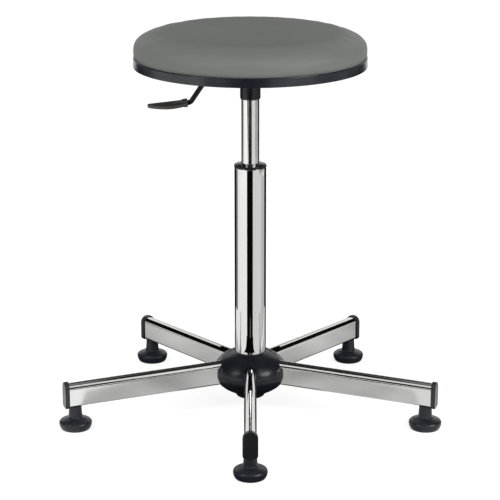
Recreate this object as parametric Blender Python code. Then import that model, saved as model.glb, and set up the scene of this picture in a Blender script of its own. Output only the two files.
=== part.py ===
"""Laboratory stool: a round vinyl seat on a gas-lift column with a five-arm chromed base on glides.

Metres, +Z up. The origin is on the floor under the middle of the stool's outline. The column stands
a little behind it, because one arm points straight to the front (-Y).
"""
import math

import bmesh
import bpy
from mathutils import Matrix, Vector

# Fits shared by every piece
GAP = 0.0003
SEAT_STEPS = 40
ROUND_STEPS = 32
GLIDE_STEPS = 20
SMALL_STEPS = 12

# Five-arm base
ARM_COUNT = 5
GLIDE_CIRCLE = 0.290
ARM_WIDTH = 0.019
ARM_HEIGHT = 0.0375
ARM_WALL = 0.0015
ARM_SLOPE = math.radians(2.33)
ARM_LOWER_ROUND = 0.0025
ARM_ARCH_STEPS = 8
CAP_LENGTH = 0.0069
CAP_TO_NECK = 0.0004
CAP_WALL = 0.0022
CAP_FACE = 0.0030
CAP_EDGE_ROUND = 0.0016

# Glides and their sockets in the arms
GLIDE_HEIGHT = 0.0381
GLIDE_RADIUS = 0.0258
GLIDE_FLAT_RADIUS = 0.0225
GLIDE_SIDE_BASE = 0.0078
GLIDE_RIM_HEIGHT = 0.0112
GLIDE_SHOULDER_WIDTH = 0.0014
GLIDE_SHOULDER_RISE = 0.0024
GLIDE_SLOPE_RISE = 0.0052
GLIDE_DOME_HEIGHT = 0.0073
GLIDE_NECK_FOOT_RADIUS = 0.0111
GLIDE_NECK_RADIUS = 0.0098
STEM_RADIUS = 0.0045
STEM_BASE = 0.0120
STEM_HEAD_RADIUS = 0.0060
STEM_HEAD_HEIGHT = 0.0030
SOCKET_WALL = 0.0015
SOCKET_FLANGE = 0.0010
SOCKET_FLANGE_HEIGHT = 0.0020
SOCKET_HEIGHT = 0.0220

# Column, hub and hub shroud
COLUMN_RADIUS = 0.025
COLUMN_WALL = 0.0015
COLUMN_LENGTH = 0.380
COLUMN_GROUND_CLEARANCE = 0.0225
COLUMN_TAPER_LENGTH = 0.078
COLUMN_TAPER = 0.0017
COLUMN_END_ROUND = 0.0040
COLUMN_FLOOR = 0.0040
HUB_WALL = 0.0070
HUB_WELD_MARGIN = 0.0040
SHROUD_REACH = 0.0270
SHROUD_DROP = 0.0033
SHROUD_HEAD_ROOM = 0.0032
SHROUD_WALL = 0.0025
SHROUD_SLOT_CLEARANCE = 0.0005
SHROUD_ARC_STEPS = 4

# Guide bush in the mouth of the column
BUSH_LENGTH = 0.120
BUSH_FLANGE_HEIGHT = 0.0037
BUSH_FLANGE_PROUD = 0.0005
BUSH_DOME = 0.0012
BUSH_EDGE_CHAMFER = 0.0009

# Gas spring
CYLINDER_RADIUS = 0.014
CYLINDER_WALL = 0.0020
CYLINDER_CONE = 0.0007
CYLINDER_ABOVE_SOCKET = 0.0020
SEAT_DROP = 0.100
SEAT_RISE = 0.095
LANDING_GAP = 0.0030
SEAL_LENGTH = 0.014
VALVE_LENGTH = 0.030
ROD_RADIUS = 0.005
ROD_END_RADIUS = 0.004
PISTON_HEIGHT = 0.016
PISTON_MARGIN = 0.006
BUMP_STOP_RADIUS = 0.011
BUMP_STOP_HEIGHT = 0.012
BUMP_STOP_MARGIN = 0.012
RELEASE_PIN_RADIUS = 0.0035
RELEASE_PIN_PROUD = 0.0067
RELEASE_PIN_LENGTH = 0.020
RELEASE_PIN_CHAMFER = 0.0010

# Thrust bearing and the clip that holds the rod in the column
RACE_RADIUS = 0.0140
RACE_THICKNESS = 0.0020
BALL_RADIUS = 0.0020
BALL_COUNT = 7
CAGE_THICKNESS = 0.0016
CAGE_WIDTH = 0.0062
CLIP_WASHER_RADIUS = 0.0095
CLIP_WASHER_THICKNESS = 0.0015
CLIP_RADIUS = 0.0068
CLIP_THICKNESS = 0.0012
ROD_TAIL = 0.0020

# Socket, lever bracket and mounting plate under the seat
SOCKET_TUBE_RADIUS = 0.016
SOCKET_TUBE_LENGTH = 0.0293
SOCKET_TUBE_ROUND = 0.0015
SOCKET_TUBE_ABOVE_FLOOR = 0.0030
BRACKET_WALL = 0.0025
BRACKET_WIDTH = 0.040
BRACKET_FRONT = 0.024
BRACKET_LEVER_SIDE = 0.048
PLATE_SIZE = 0.170
PLATE_THICKNESS = 0.0025
PLATE_CORNER = 0.012
BOLT_SPACING = 0.130
BOLT_RADIUS = 0.0030
BOLT_HEAD_RADIUS = 0.0068
BOLT_HEAD_HEIGHT = 0.0035
BOLT_HEAD_CHAMFER = 0.0012
TEE_NUT_WALL = 0.0015
TEE_NUT_FLANGE_RADIUS = 0.0090
TEE_NUT_FLANGE = 0.0012
TEE_NUT_DEPTH = 0.0080

# Release lever
LEVER_ROD_RADIUS = 0.0040
LEVER_PIVOT_REACH = 0.030
LEVER_INNER_END = 0.005
LEVER_SWING_ROOM = 0.0028
LEVER_KNEE_REACH = 0.0605
LEVER_KNEE_RADIUS = 0.009
LEVER_DROP_ANGLE = math.radians(56.0)
LEVER_DROP = 0.0482
LEVER_PADDLE_SLOPE = math.radians(4.7)
LEVER_BEND_STEPS = 4
PIVOT_PIN_RADIUS = 0.0030
PIVOT_PIN_PROUD = 0.0035
PIVOT_CLIP_RADIUS = 0.0052
PIVOT_CLIP_THICKNESS = 0.0012
LEVER_EYE_WALL = 0.0022
LEVER_EYE_LENGTH = 0.024
PADDLE_LENGTH = 0.067
PADDLE_THICKNESS = 0.0046
PADDLE_TILT = math.radians(12.0)
PADDLE_EDGE_ROUND = 0.0013
PADDLE_BOSS_WALL = 0.0026
PADDLE_BOSS_LENGTH = 0.026
PADDLE_BOSS_END_RADIUS = 0.0028
PADDLE_POCKET = 0.018
PADDLE_ROOT_FAR = 0.0105
PADDLE_ROOT_NEAR = 0.0075
PADDLE_TIP_WIDTH = 0.0030
PADDLE_NEAR_BULGE = 0.0085
PADDLE_FAR_HOLLOW = 0.0015
PADDLE_BULGE_SHIFT = 0.9
PADDLE_STEPS = 8

# Seat
SEAT_RADIUS = 0.181
PAN_HEIGHT = 0.0146
PAN_WALL = 0.0030
PAN_FLOOR = 0.0025
PAN_EDGE_ROUND = 0.0015
COVER_THICKNESS = 0.0012
HEM_WIDTH = 0.024
BOARD_THICKNESS = 0.0100
CUSHION_BELLY = 0.0075
CROWN_HEIGHT = 0.0340
CROWN_FLATNESS = 5.5
CROWN_SHOULDER = 3.1
CROWN_STEPS = 7

# Where the levels lie, from the floor up
AXIS_Y = GLIDE_CIRCLE * (1.0 - math.cos(math.pi / ARM_COUNT)) / 2.0
SLOPE_RISE = math.tan(ARM_SLOPE)
ARM_BOTTOM_AT_GLIDE = GLIDE_HEIGHT + GAP + SLOPE_RISE * GLIDE_NECK_RADIUS
NECK_BASE = GLIDE_RIM_HEIGHT + GLIDE_DOME_HEIGHT
NECK_TAPER = (GLIDE_NECK_FOOT_RADIUS - GLIDE_NECK_RADIUS) / (GLIDE_HEIGHT - NECK_BASE)
NECK_BESIDE_CAP = GLIDE_NECK_RADIUS + NECK_TAPER * 2.0 * CAP_WALL
CAP_START_X = GLIDE_CIRCLE + NECK_BESIDE_CAP + CAP_TO_NECK
CAP_OUTER_X = CAP_START_X + CAP_LENGTH
ARM_END_X = CAP_OUTER_X - CAP_FACE - GAP
HUB_RADIUS = COLUMN_RADIUS + HUB_WALL
HUB_HEIGHT = ARM_HEIGHT + 2.0 * HUB_WELD_MARGIN
ARM_START_X = HUB_RADIUS + GAP

COLUMN_BOTTOM = COLUMN_GROUND_CLEARANCE
COLUMN_TOP = COLUMN_BOTTOM + COLUMN_LENGTH
COLUMN_TAPER_TOP = COLUMN_BOTTOM + COLUMN_TAPER_LENGTH
BUSH_BASE = COLUMN_TOP + GAP
BUSH_RIM = BUSH_BASE + BUSH_FLANGE_HEIGHT
BUSH_TOP = BUSH_RIM + BUSH_DOME

BEARING_FLOOR = COLUMN_BOTTOM + COLUMN_FLOOR
LOWER_RACE_BASE = BEARING_FLOOR + GAP
BALL_CENTRE = LOWER_RACE_BASE + RACE_THICKNESS + GAP + BALL_RADIUS
UPPER_RACE_BASE = BALL_CENTRE + BALL_RADIUS + GAP
ROD_SHOULDER = UPPER_RACE_BASE + RACE_THICKNESS + GAP
BUMP_STOP_TOP = ROD_SHOULDER + BUMP_STOP_HEIGHT

SOCKET_BOTTOM = BUSH_TOP + SEAT_DROP + LANDING_GAP
SOCKET_TOP = SOCKET_BOTTOM + SOCKET_TUBE_LENGTH
CYLINDER_BOTTOM = BUMP_STOP_TOP + BUMP_STOP_MARGIN + SEAT_DROP
CYLINDER_TOP = SOCKET_TOP + CYLINDER_ABOVE_SOCKET
PISTON_BASE = CYLINDER_BOTTOM + SEAL_LENGTH + SEAT_RISE + PISTON_MARGIN
PIN_TOP = CYLINDER_TOP + RELEASE_PIN_PROUD
LEVER_Z = PIN_TOP + GAP + LEVER_ROD_RADIUS
LEVER_EYE_RADIUS = PIVOT_PIN_RADIUS + GAP + LEVER_EYE_WALL
PIVOT_Z = LEVER_Z - LEVER_ROD_RADIUS - GAP - LEVER_EYE_RADIUS
BRACKET_FLOOR_TOP = SOCKET_TOP - SOCKET_TUBE_ABOVE_FLOOR
BRACKET_BOTTOM = BRACKET_FLOOR_TOP - BRACKET_WALL
BRACKET_TOP = LEVER_Z + LEVER_ROD_RADIUS + LEVER_SWING_ROOM
PLATE_BOTTOM = BRACKET_TOP + GAP
PLATE_TOP = PLATE_BOTTOM + PLATE_THICKNESS
PAN_BOTTOM = PLATE_TOP + GAP
PAN_TOP = PAN_BOTTOM + PAN_HEIGHT
HEM_BOTTOM = PAN_BOTTOM + PAN_FLOOR + GAP
PAN_PAD_TOP = HEM_BOTTOM + COVER_THICKNESS
BOARD_BOTTOM = PAN_PAD_TOP + GAP
BOARD_TOP = BOARD_BOTTOM + BOARD_THICKNESS
COVER_SKIRT_RADIUS = SEAT_RADIUS - PAN_WALL - GAP
BOARD_RADIUS = COVER_SKIRT_RADIUS - COVER_THICKNESS - GAP
HEM_RADIUS = COVER_SKIRT_RADIUS - HEM_WIDTH
CROWN_BASE = PAN_TOP + CUSHION_BELLY


def arm_bottom(x):
    """Height of an arm's underside at a distance x from the column's axis."""
    return ARM_BOTTOM_AT_GLIDE + SLOPE_RISE * (GLIDE_CIRCLE - x)


HUB_MIDDLE = arm_bottom(HUB_RADIUS) + ARM_HEIGHT / 2.0
SHROUD_MIDDLE = HUB_MIDDLE - SHROUD_DROP
SHROUD_RADIUS = HUB_RADIUS + SHROUD_REACH
SHROUD_INNER_RADIUS = SHROUD_RADIUS - SHROUD_WALL
SHROUD_INNER_HEIGHT = (HUB_HEIGHT / 2.0 + SHROUD_DROP + SHROUD_HEAD_ROOM) / math.sqrt(
    1.0 - (HUB_RADIUS / SHROUD_INNER_RADIUS) ** 2
)
SHROUD_HALF_HEIGHT = SHROUD_INNER_HEIGHT + SHROUD_WALL

# Finishes: colour, roughness, metallic
CHROME = ((0.78, 0.78, 0.77), 0.08, 1.0)
ZINC_STEEL = ((0.55, 0.56, 0.57), 0.35, 1.0)
BEARING_STEEL = ((0.60, 0.60, 0.61), 0.20, 1.0)
BLACK_PLASTIC = ((0.016, 0.018, 0.022), 0.42, 0.0)
BLACK_ENAMEL = ((0.014, 0.014, 0.016), 0.35, 0.0)
BLACK_RUBBER = ((0.020, 0.020, 0.020), 0.80, 0.0)
NATURAL_NYLON = ((0.72, 0.70, 0.64), 0.45, 0.0)
GREY_VINYL = ((0.165, 0.175, 0.165), 0.50, 0.0)
FOAM = ((0.78, 0.72, 0.52), 0.95, 0.0)
PLYWOOD = ((0.55, 0.38, 0.22), 0.70, 0.0)


def clear_scene():
    """Start from an empty scene."""
    for item in list(bpy.data.objects):
        bpy.data.objects.remove(item, do_unlink=True)


def finish_material(name, finish):
    """Make a Principled material from a finish."""
    colour, roughness, metallic = finish
    material = bpy.data.materials.new(name)
    material.use_nodes = True
    shader = material.node_tree.nodes["Principled BSDF"]
    shader.inputs["Base Color"].default_value = (*colour, 1.0)
    shader.inputs["Roughness"].default_value = roughness
    shader.inputs["Metallic"].default_value = metallic
    material.diffuse_color = (*colour, 1.0)
    return material


def add_axis(name, location, parent=None):
    """Put an empty on a joint's axis."""
    empty = bpy.data.objects.new(name, None)
    empty.location = location
    empty.empty_display_size = 0.02
    empty.parent = parent
    bpy.context.collection.objects.link(empty)
    return empty


def add_piece(name, bm, finish, parent):
    """Turn a bmesh into a named, shaded object with its own material."""
    mesh = bpy.data.meshes.new(name)
    bm.to_mesh(mesh)
    bm.free()
    mesh.shade_smooth()
    mesh.set_sharp_from_angle(angle=math.radians(35.0))
    piece = bpy.data.objects.new(name, mesh)
    piece.data.materials.append(finish_material(name, finish))
    piece.parent = parent
    bpy.context.collection.objects.link(piece)
    return piece


def add_cutter(name, bm, parent):
    """Keep a bmesh as a hidden helper for a Boolean."""
    mesh = bpy.data.meshes.new(name)
    bm.to_mesh(mesh)
    bm.free()
    helper = bpy.data.objects.new(name, mesh)
    helper.parent = parent
    helper.hide_render = True
    helper.display_type = "WIRE"
    bpy.context.collection.objects.link(helper)
    return helper


def boolean(piece, helper, operation="DIFFERENCE"):
    """Cut a helper out of a piece, or join it on."""
    modifier = piece.modifiers.new(helper.name, "BOOLEAN")
    modifier.operation = operation
    modifier.solver = "EXACT"
    modifier.object = helper


def turned(outline, steps=ROUND_STEPS):
    """Spin an outline of (radius, height) points round Z; it closes itself unless both ends are on Z."""
    bm = bmesh.new()
    verts = [bm.verts.new((radius, 0.0, height)) for radius, height in outline]
    edges = [bm.edges.new(pair) for pair in zip(verts, verts[1:])]
    if outline[0][0] > 0.0 or outline[-1][0] > 0.0:
        edges.append(bm.edges.new((verts[-1], verts[0])))
    bmesh.ops.spin(
        bm, geom=verts + edges, axis=(0.0, 0.0, 1.0), cent=(0.0, 0.0, 0.0),
        angle=2.0 * math.pi, steps=steps, use_merge=True,
    )
    bmesh.ops.remove_doubles(bm, verts=bm.verts, dist=1e-6)
    bmesh.ops.recalc_face_normals(bm, faces=bm.faces)
    return bm


def ring(inner, outer, base, height, steps=GLIDE_STEPS):
    """A flat ring or short tube."""
    top = base + height
    return turned([(inner, base), (outer, base), (outer, top), (inner, top)], steps)


def rod(radius, base, top, steps=SMALL_STEPS):
    """A plain round bar."""
    return turned([(0.0, base), (radius, base), (radius, top), (0.0, top)], steps)


def copies(bm, places):
    """Repeat a bmesh at several places in one mesh."""
    source = bpy.data.meshes.new("copy_source")
    bm.to_mesh(source)
    bm.free()
    group = bmesh.new()
    for place in places:
        start = len(group.verts)
        group.from_mesh(source)
        group.verts.ensure_lookup_table()
        bmesh.ops.translate(group, verts=group.verts[start:], vec=Vector(place))
    bpy.data.meshes.remove(source)
    return group


def prism(outline, vector):
    """Extrude a closed outline of 3-D points along a vector."""
    bm = bmesh.new()
    face = bm.faces.new([bm.verts.new(point) for point in outline])
    extruded = bmesh.ops.extrude_face_region(bm, geom=[face])["geom"]
    moved = [item for item in extruded if isinstance(item, bmesh.types.BMVert)]
    bmesh.ops.translate(bm, verts=moved, vec=Vector(vector))
    bmesh.ops.recalc_face_normals(bm, faces=bm.faces)
    return bm


def arc(centre, radius, start, end, steps):
    """Points along a circular arc in a plane, ends included."""
    angles = [start + (end - start) * step / steps for step in range(steps + 1)]
    return [(centre[0] + radius * math.cos(a), centre[1] + radius * math.sin(a)) for a in angles]


def arm_section(offset):
    """An arm's cross-section, half round on top, grown outward by an offset: (across, above bottom)."""
    half = ARM_WIDTH / 2.0 + offset
    corner = max(ARM_LOWER_ROUND + offset, GAP)
    arch = arc((0.0, ARM_HEIGHT - ARM_WIDTH / 2.0), half, 0.0, math.pi, ARM_ARCH_STEPS)
    left = arc((-half + corner, -offset + corner), corner, math.pi, 1.5 * math.pi, 2)
    right = arc((half - corner, -offset + corner), corner, 1.5 * math.pi, 2.0 * math.pi, 2)
    return arch + left + right


def neighbours(row):
    """Each point of a closed row with the next one."""
    return zip(row, row[1:] + row[:1])


def skin(bm, first, second):
    """Join two cross-sections of equal count with a band of faces."""
    for (a, b), (c, d) in zip(neighbours(first), neighbours(second)):
        bm.faces.new((a, b, d, c))


def arm_loft(loops, hollow=False):
    """Skin an arm's cross-sections, each given as (section, x), one after another.

    A hollow loft ends where it began, as a tube does; any other is closed at both ends.
    """
    bm = bmesh.new()
    rows = []
    for section, x in loops:
        rows.append([bm.verts.new((x, across, arm_bottom(x) + above)) for across, above in section])
    for first, second in zip(rows, rows[1:]):
        skin(bm, first, second)
    if hollow:
        skin(bm, rows[-1], rows[0])
    else:
        bm.faces.new(rows[0])
        bm.faces.new(rows[-1])
    bmesh.ops.recalc_face_normals(bm, faces=bm.faces)
    return bm


def column_radius(height):
    """Outer radius of the column tube, which narrows towards its lower end."""
    share = min(max((COLUMN_TAPER_TOP - height) / COLUMN_TAPER_LENGTH, 0.0), 1.0)
    return COLUMN_RADIUS - COLUMN_TAPER * share


def cylinder_radius(height):
    """Outer radius of the gas cylinder, which narrows inside its socket."""
    share = min(max((height - SOCKET_BOTTOM) / (CYLINDER_TOP - SOCKET_BOTTOM), 0.0), 1.0)
    return CYLINDER_RADIUS - CYLINDER_CONE * share


def build_column(stool):
    """The chromed outer tube, the bush in its mouth and the welded hub round its lower end."""
    lower = COLUMN_BOTTOM + COLUMN_END_ROUND
    end_radius = column_radius(lower)
    rounding = arc((end_radius - COLUMN_END_ROUND, lower), COLUMN_END_ROUND, 0.0, -math.pi / 2.0, 3)
    hole = ROD_END_RADIUS + GAP
    outline = [(COLUMN_RADIUS, COLUMN_TOP), (COLUMN_RADIUS, COLUMN_TAPER_TOP)] + rounding
    outline += [
        (hole, COLUMN_BOTTOM), (hole, BEARING_FLOOR),
        (column_radius(BEARING_FLOOR) - COLUMN_WALL, BEARING_FLOOR),
        (COLUMN_RADIUS - COLUMN_WALL, COLUMN_TAPER_TOP), (COLUMN_RADIUS - COLUMN_WALL, COLUMN_TOP),
    ]
    add_piece("column_tube", turned(outline), CHROME, stool)

    sleeve = COLUMN_RADIUS - COLUMN_WALL - GAP
    bore = CYLINDER_RADIUS + GAP
    flange = COLUMN_RADIUS + BUSH_FLANGE_PROUD
    outline = [
        (bore, BUSH_BASE - BUSH_LENGTH), (sleeve, BUSH_BASE - BUSH_LENGTH), (sleeve, BUSH_BASE),
        (flange, BUSH_BASE), (flange, BUSH_RIM - BUSH_EDGE_CHAMFER), (flange - BUSH_EDGE_CHAMFER, BUSH_RIM),
        (bore, BUSH_TOP),
    ]
    add_piece("column_bush", turned(outline), BLACK_PLASTIC, stool)

    top = HUB_MIDDLE + HUB_HEIGHT / 2.0
    bottom = HUB_MIDDLE - HUB_HEIGHT / 2.0
    outline = [
        (column_radius(bottom) + GAP, bottom), (HUB_RADIUS, bottom),
        (HUB_RADIUS, top), (column_radius(top) + GAP, top),
    ]
    add_piece("hub_tube", turned(outline), ZINC_STEEL, stool)


def shroud_outline(direction):
    """Half of the hub shroud's wall, from its parting line to the column."""
    def point(radius, half_height, limit, share):
        start = math.acos(limit / radius)
        angle = start * share
        return radius * math.cos(angle), SHROUD_MIDDLE + direction * half_height * math.sin(angle)

    parting = SHROUD_MIDDLE + direction * GAP / 2.0
    limit = column_radius(SHROUD_MIDDLE + direction * SHROUD_HALF_HEIGHT) + 2.0 * GAP
    shares = [step / SHROUD_ARC_STEPS for step in range(1, SHROUD_ARC_STEPS + 1)]
    outer = [point(SHROUD_RADIUS, SHROUD_HALF_HEIGHT, limit, share) for share in shares]
    inner = [point(SHROUD_INNER_RADIUS, SHROUD_INNER_HEIGHT, limit, share) for share in shares]
    return [(SHROUD_RADIUS, parting)] + outer + inner[::-1] + [(SHROUD_INNER_RADIUS, parting)]


def arm_angle(index):
    """Direction of an arm, the first one pointing to the front."""
    return -math.pi / 2.0 + index * 2.0 * math.pi / ARM_COUNT


def build_shroud(stool):
    """The two moulded halves that hide the hub, slotted for the arms."""
    slots = bmesh.new()
    section = arm_section(SHROUD_SLOT_CLEARANCE)
    for index in range(ARM_COUNT):
        start = len(slots.verts)
        slot = arm_loft([(section, HUB_RADIUS - GAP), (section, SHROUD_RADIUS + HUB_WALL)])
        mesh = bpy.data.meshes.new("slot_source")
        slot.to_mesh(mesh)
        slot.free()
        slots.from_mesh(mesh)
        bpy.data.meshes.remove(mesh)
        slots.verts.ensure_lookup_table()
        turn = Matrix.Rotation(arm_angle(index), 3, "Z")
        bmesh.ops.rotate(slots, verts=slots.verts[start:], cent=(0.0, 0.0, 0.0), matrix=turn)
    cutter = add_cutter("shroud_slots", slots, stool)
    for name, direction in (("shroud_upper", 1.0), ("shroud_lower", -1.0)):
        half = add_piece(name, turned(shroud_outline(direction)), BLACK_PLASTIC, stool)
        boolean(half, cutter)


def build_arm(index, stool):
    """One chromed tube arm with its end cap, glide socket and glide."""
    number = index + 1
    angle = arm_angle(index)
    axis = add_axis(f"arm_axis_{number}", (0.0, 0.0, 0.0), stool)
    axis.rotation_euler = (0.0, 0.0, angle)

    outer = arm_section(0.0)
    inner = arm_section(-ARM_WALL)
    ends = [(outer, ARM_START_X), (outer, ARM_END_X), (inner, ARM_END_X), (inner, ARM_START_X)]
    tube = arm_loft(ends, hollow=True)
    arm = add_piece(f"arm_{number}", tube, CHROME, axis)
    socket_radius = STEM_RADIUS + GAP + SOCKET_WALL
    bore = rod(socket_radius + GAP, ARM_BOTTOM_AT_GLIDE - ARM_WALL, ARM_BOTTOM_AT_GLIDE + 2.0 * ARM_WALL)
    cutter = add_cutter(f"arm_bore_{number}", bore, axis)
    cutter.location.x = GLIDE_CIRCLE
    boolean(arm, cutter)

    shell = arm_section(CAP_WALL)
    softened = arm_section(CAP_WALL - CAP_EDGE_ROUND)
    pocket = arm_section(GAP)
    cap = arm_loft([
        (pocket, ARM_END_X + GAP), (pocket, CAP_START_X), (shell, CAP_START_X),
        (shell, CAP_OUTER_X - CAP_EDGE_ROUND), (softened, CAP_OUTER_X),
    ])
    add_piece(f"arm_cap_{number}", cap, BLACK_PLASTIC, axis)

    centre = (GLIDE_CIRCLE * math.cos(angle), GLIDE_CIRCLE * math.sin(angle), 0.0)
    build_glide(number, add_axis(f"glide_axis_{number}", centre, stool), stool, centre)


def build_glide(number, axis, stool, centre):
    """A swivelling glide: moulded foot on a steel stem, which turns in a socket in the arm."""
    bore = STEM_RADIUS + GAP
    rim = GLIDE_RIM_HEIGHT
    outline = [
        (0.0, 0.0), (GLIDE_FLAT_RADIUS, 0.0), (GLIDE_RADIUS, GLIDE_SIDE_BASE), (GLIDE_RADIUS, rim),
        (GLIDE_RADIUS - GLIDE_SHOULDER_WIDTH, rim + GLIDE_SHOULDER_RISE),
        ((GLIDE_RADIUS + GLIDE_NECK_FOOT_RADIUS) / 2.0, rim + GLIDE_SLOPE_RISE),
        (GLIDE_NECK_FOOT_RADIUS, NECK_BASE), (GLIDE_NECK_RADIUS, GLIDE_HEIGHT),
        (bore, GLIDE_HEIGHT), (bore, STEM_BASE - GAP), (0.0, STEM_BASE - GAP),
    ]
    add_piece(f"glide_foot_{number}", turned(outline, GLIDE_STEPS), BLACK_PLASTIC, axis)

    wall_top = ARM_BOTTOM_AT_GLIDE + ARM_WALL
    sleeve = bore + SOCKET_WALL
    flange = sleeve + SOCKET_FLANGE
    flange_base = wall_top + SLOPE_RISE * flange + GAP
    socket_base = ARM_BOTTOM_AT_GLIDE + SLOPE_RISE * sleeve
    socket_top = flange_base + SOCKET_HEIGHT
    outline = [
        (bore, socket_base), (sleeve, socket_base), (sleeve, flange_base), (flange, flange_base),
        (flange, flange_base + SOCKET_FLANGE_HEIGHT), (sleeve, flange_base + SOCKET_FLANGE_HEIGHT),
        (sleeve, socket_top), (bore, socket_top),
    ]
    socket = add_piece(f"glide_socket_{number}", turned(outline, SMALL_STEPS), NATURAL_NYLON, stool)
    socket.location = centre

    head = socket_top + GAP
    outline = [
        (0.0, STEM_BASE), (STEM_RADIUS, STEM_BASE), (STEM_RADIUS, head), (STEM_HEAD_RADIUS, head),
        (STEM_HEAD_RADIUS - STEM_HEAD_HEIGHT / 2.0, head + STEM_HEAD_HEIGHT), (0.0, head + STEM_HEAD_HEIGHT),
    ]
    add_piece(f"glide_stem_{number}", turned(outline, SMALL_STEPS), ZINC_STEEL, axis)


def build_bearing(stool, swivel, cage_axis):
    """The thrust bearing that the piston rod turns on, and the clip that holds the rod down.

    The balls are one body with the cage that holds them.
    """
    bore = ROD_END_RADIUS + GAP
    add_piece("lower_race", ring(bore, RACE_RADIUS, LOWER_RACE_BASE, RACE_THICKNESS), BEARING_STEEL, stool)
    add_piece("upper_race", ring(bore, RACE_RADIUS, UPPER_RACE_BASE, RACE_THICKNESS), BEARING_STEEL, swivel)

    circle = (bore + RACE_RADIUS) / 2.0
    places = []
    for index in range(BALL_COUNT):
        angle = 2.0 * math.pi * index / BALL_COUNT
        places.append((circle * math.cos(angle), circle * math.sin(angle), BALL_CENTRE))
    ball = bmesh.new()
    bmesh.ops.create_icosphere(ball, subdivisions=1, radius=BALL_RADIUS)
    balls = add_cutter("bearing_balls", copies(ball, places), cage_axis)
    plain = ring(circle - CAGE_WIDTH / 2.0, circle + CAGE_WIDTH / 2.0, BALL_CENTRE - CAGE_THICKNESS / 2.0,
                 CAGE_THICKNESS, GLIDE_STEPS)
    cage = add_piece("ball_cage", plain, BEARING_STEEL, cage_axis)
    boolean(cage, balls, "UNION")

    washer_base = COLUMN_BOTTOM - GAP - CLIP_WASHER_THICKNESS
    clip_base = washer_base - GAP - CLIP_THICKNESS
    washer = ring(bore, CLIP_WASHER_RADIUS, washer_base, CLIP_WASHER_THICKNESS)
    add_piece("spindle_washer", washer, ZINC_STEEL, swivel)
    add_piece("spindle_clip", ring(bore, CLIP_RADIUS, clip_base, CLIP_THICKNESS), ZINC_STEEL, swivel)
    tail = clip_base - ROD_TAIL
    outline = [
        (0.0, tail), (ROD_END_RADIUS, tail), (ROD_END_RADIUS, ROD_SHOULDER), (ROD_RADIUS, ROD_SHOULDER),
        (ROD_RADIUS, PISTON_BASE - GAP), (ROD_END_RADIUS, PISTON_BASE - GAP),
        (ROD_END_RADIUS, PISTON_BASE + PISTON_HEIGHT), (0.0, PISTON_BASE + PISTON_HEIGHT),
    ]
    add_piece("piston_rod", turned(outline, SMALL_STEPS), CHROME, swivel)
    piston = ring(bore, CYLINDER_RADIUS - CYLINDER_WALL - GAP, PISTON_BASE, PISTON_HEIGHT)
    add_piece("piston", piston, NATURAL_NYLON, swivel)
    stop = ring(ROD_RADIUS + GAP, BUMP_STOP_RADIUS, ROD_SHOULDER, BUMP_STOP_HEIGHT)
    add_piece("bump_stop", stop, BLACK_RUBBER, swivel)


def build_gas_cylinder(seat, pin_axis):
    """The sliding cylinder of the gas spring and the release pin in its top."""
    bore = CYLINDER_RADIUS - CYLINDER_WALL
    rod_hole = ROD_RADIUS + GAP
    pin_hole = RELEASE_PIN_RADIUS + GAP
    outline = [
        (rod_hole, CYLINDER_BOTTOM), (CYLINDER_RADIUS, CYLINDER_BOTTOM), (CYLINDER_RADIUS, SOCKET_BOTTOM),
        (cylinder_radius(CYLINDER_TOP), CYLINDER_TOP), (pin_hole, CYLINDER_TOP),
        (pin_hole, CYLINDER_TOP - VALVE_LENGTH), (bore, CYLINDER_TOP - VALVE_LENGTH),
        (bore, CYLINDER_BOTTOM + SEAL_LENGTH), (rod_hole, CYLINDER_BOTTOM + SEAL_LENGTH),
    ]
    add_piece("gas_cylinder", turned(outline), CHROME, seat)
    flat = RELEASE_PIN_RADIUS - RELEASE_PIN_CHAMFER
    outline = [
        (0.0, -RELEASE_PIN_LENGTH), (RELEASE_PIN_RADIUS, -RELEASE_PIN_LENGTH),
        (RELEASE_PIN_RADIUS, -RELEASE_PIN_CHAMFER), (flat, 0.0), (0.0, 0.0),
    ]
    add_piece("release_pin", turned(outline, SMALL_STEPS), ZINC_STEEL, pin_axis)


def bolt_places(height=0.0):
    """Centres of the four seat bolts."""
    half = BOLT_SPACING / 2.0
    return [(x, y, height) for x in (-half, half) for y in (-half, half)]


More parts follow.
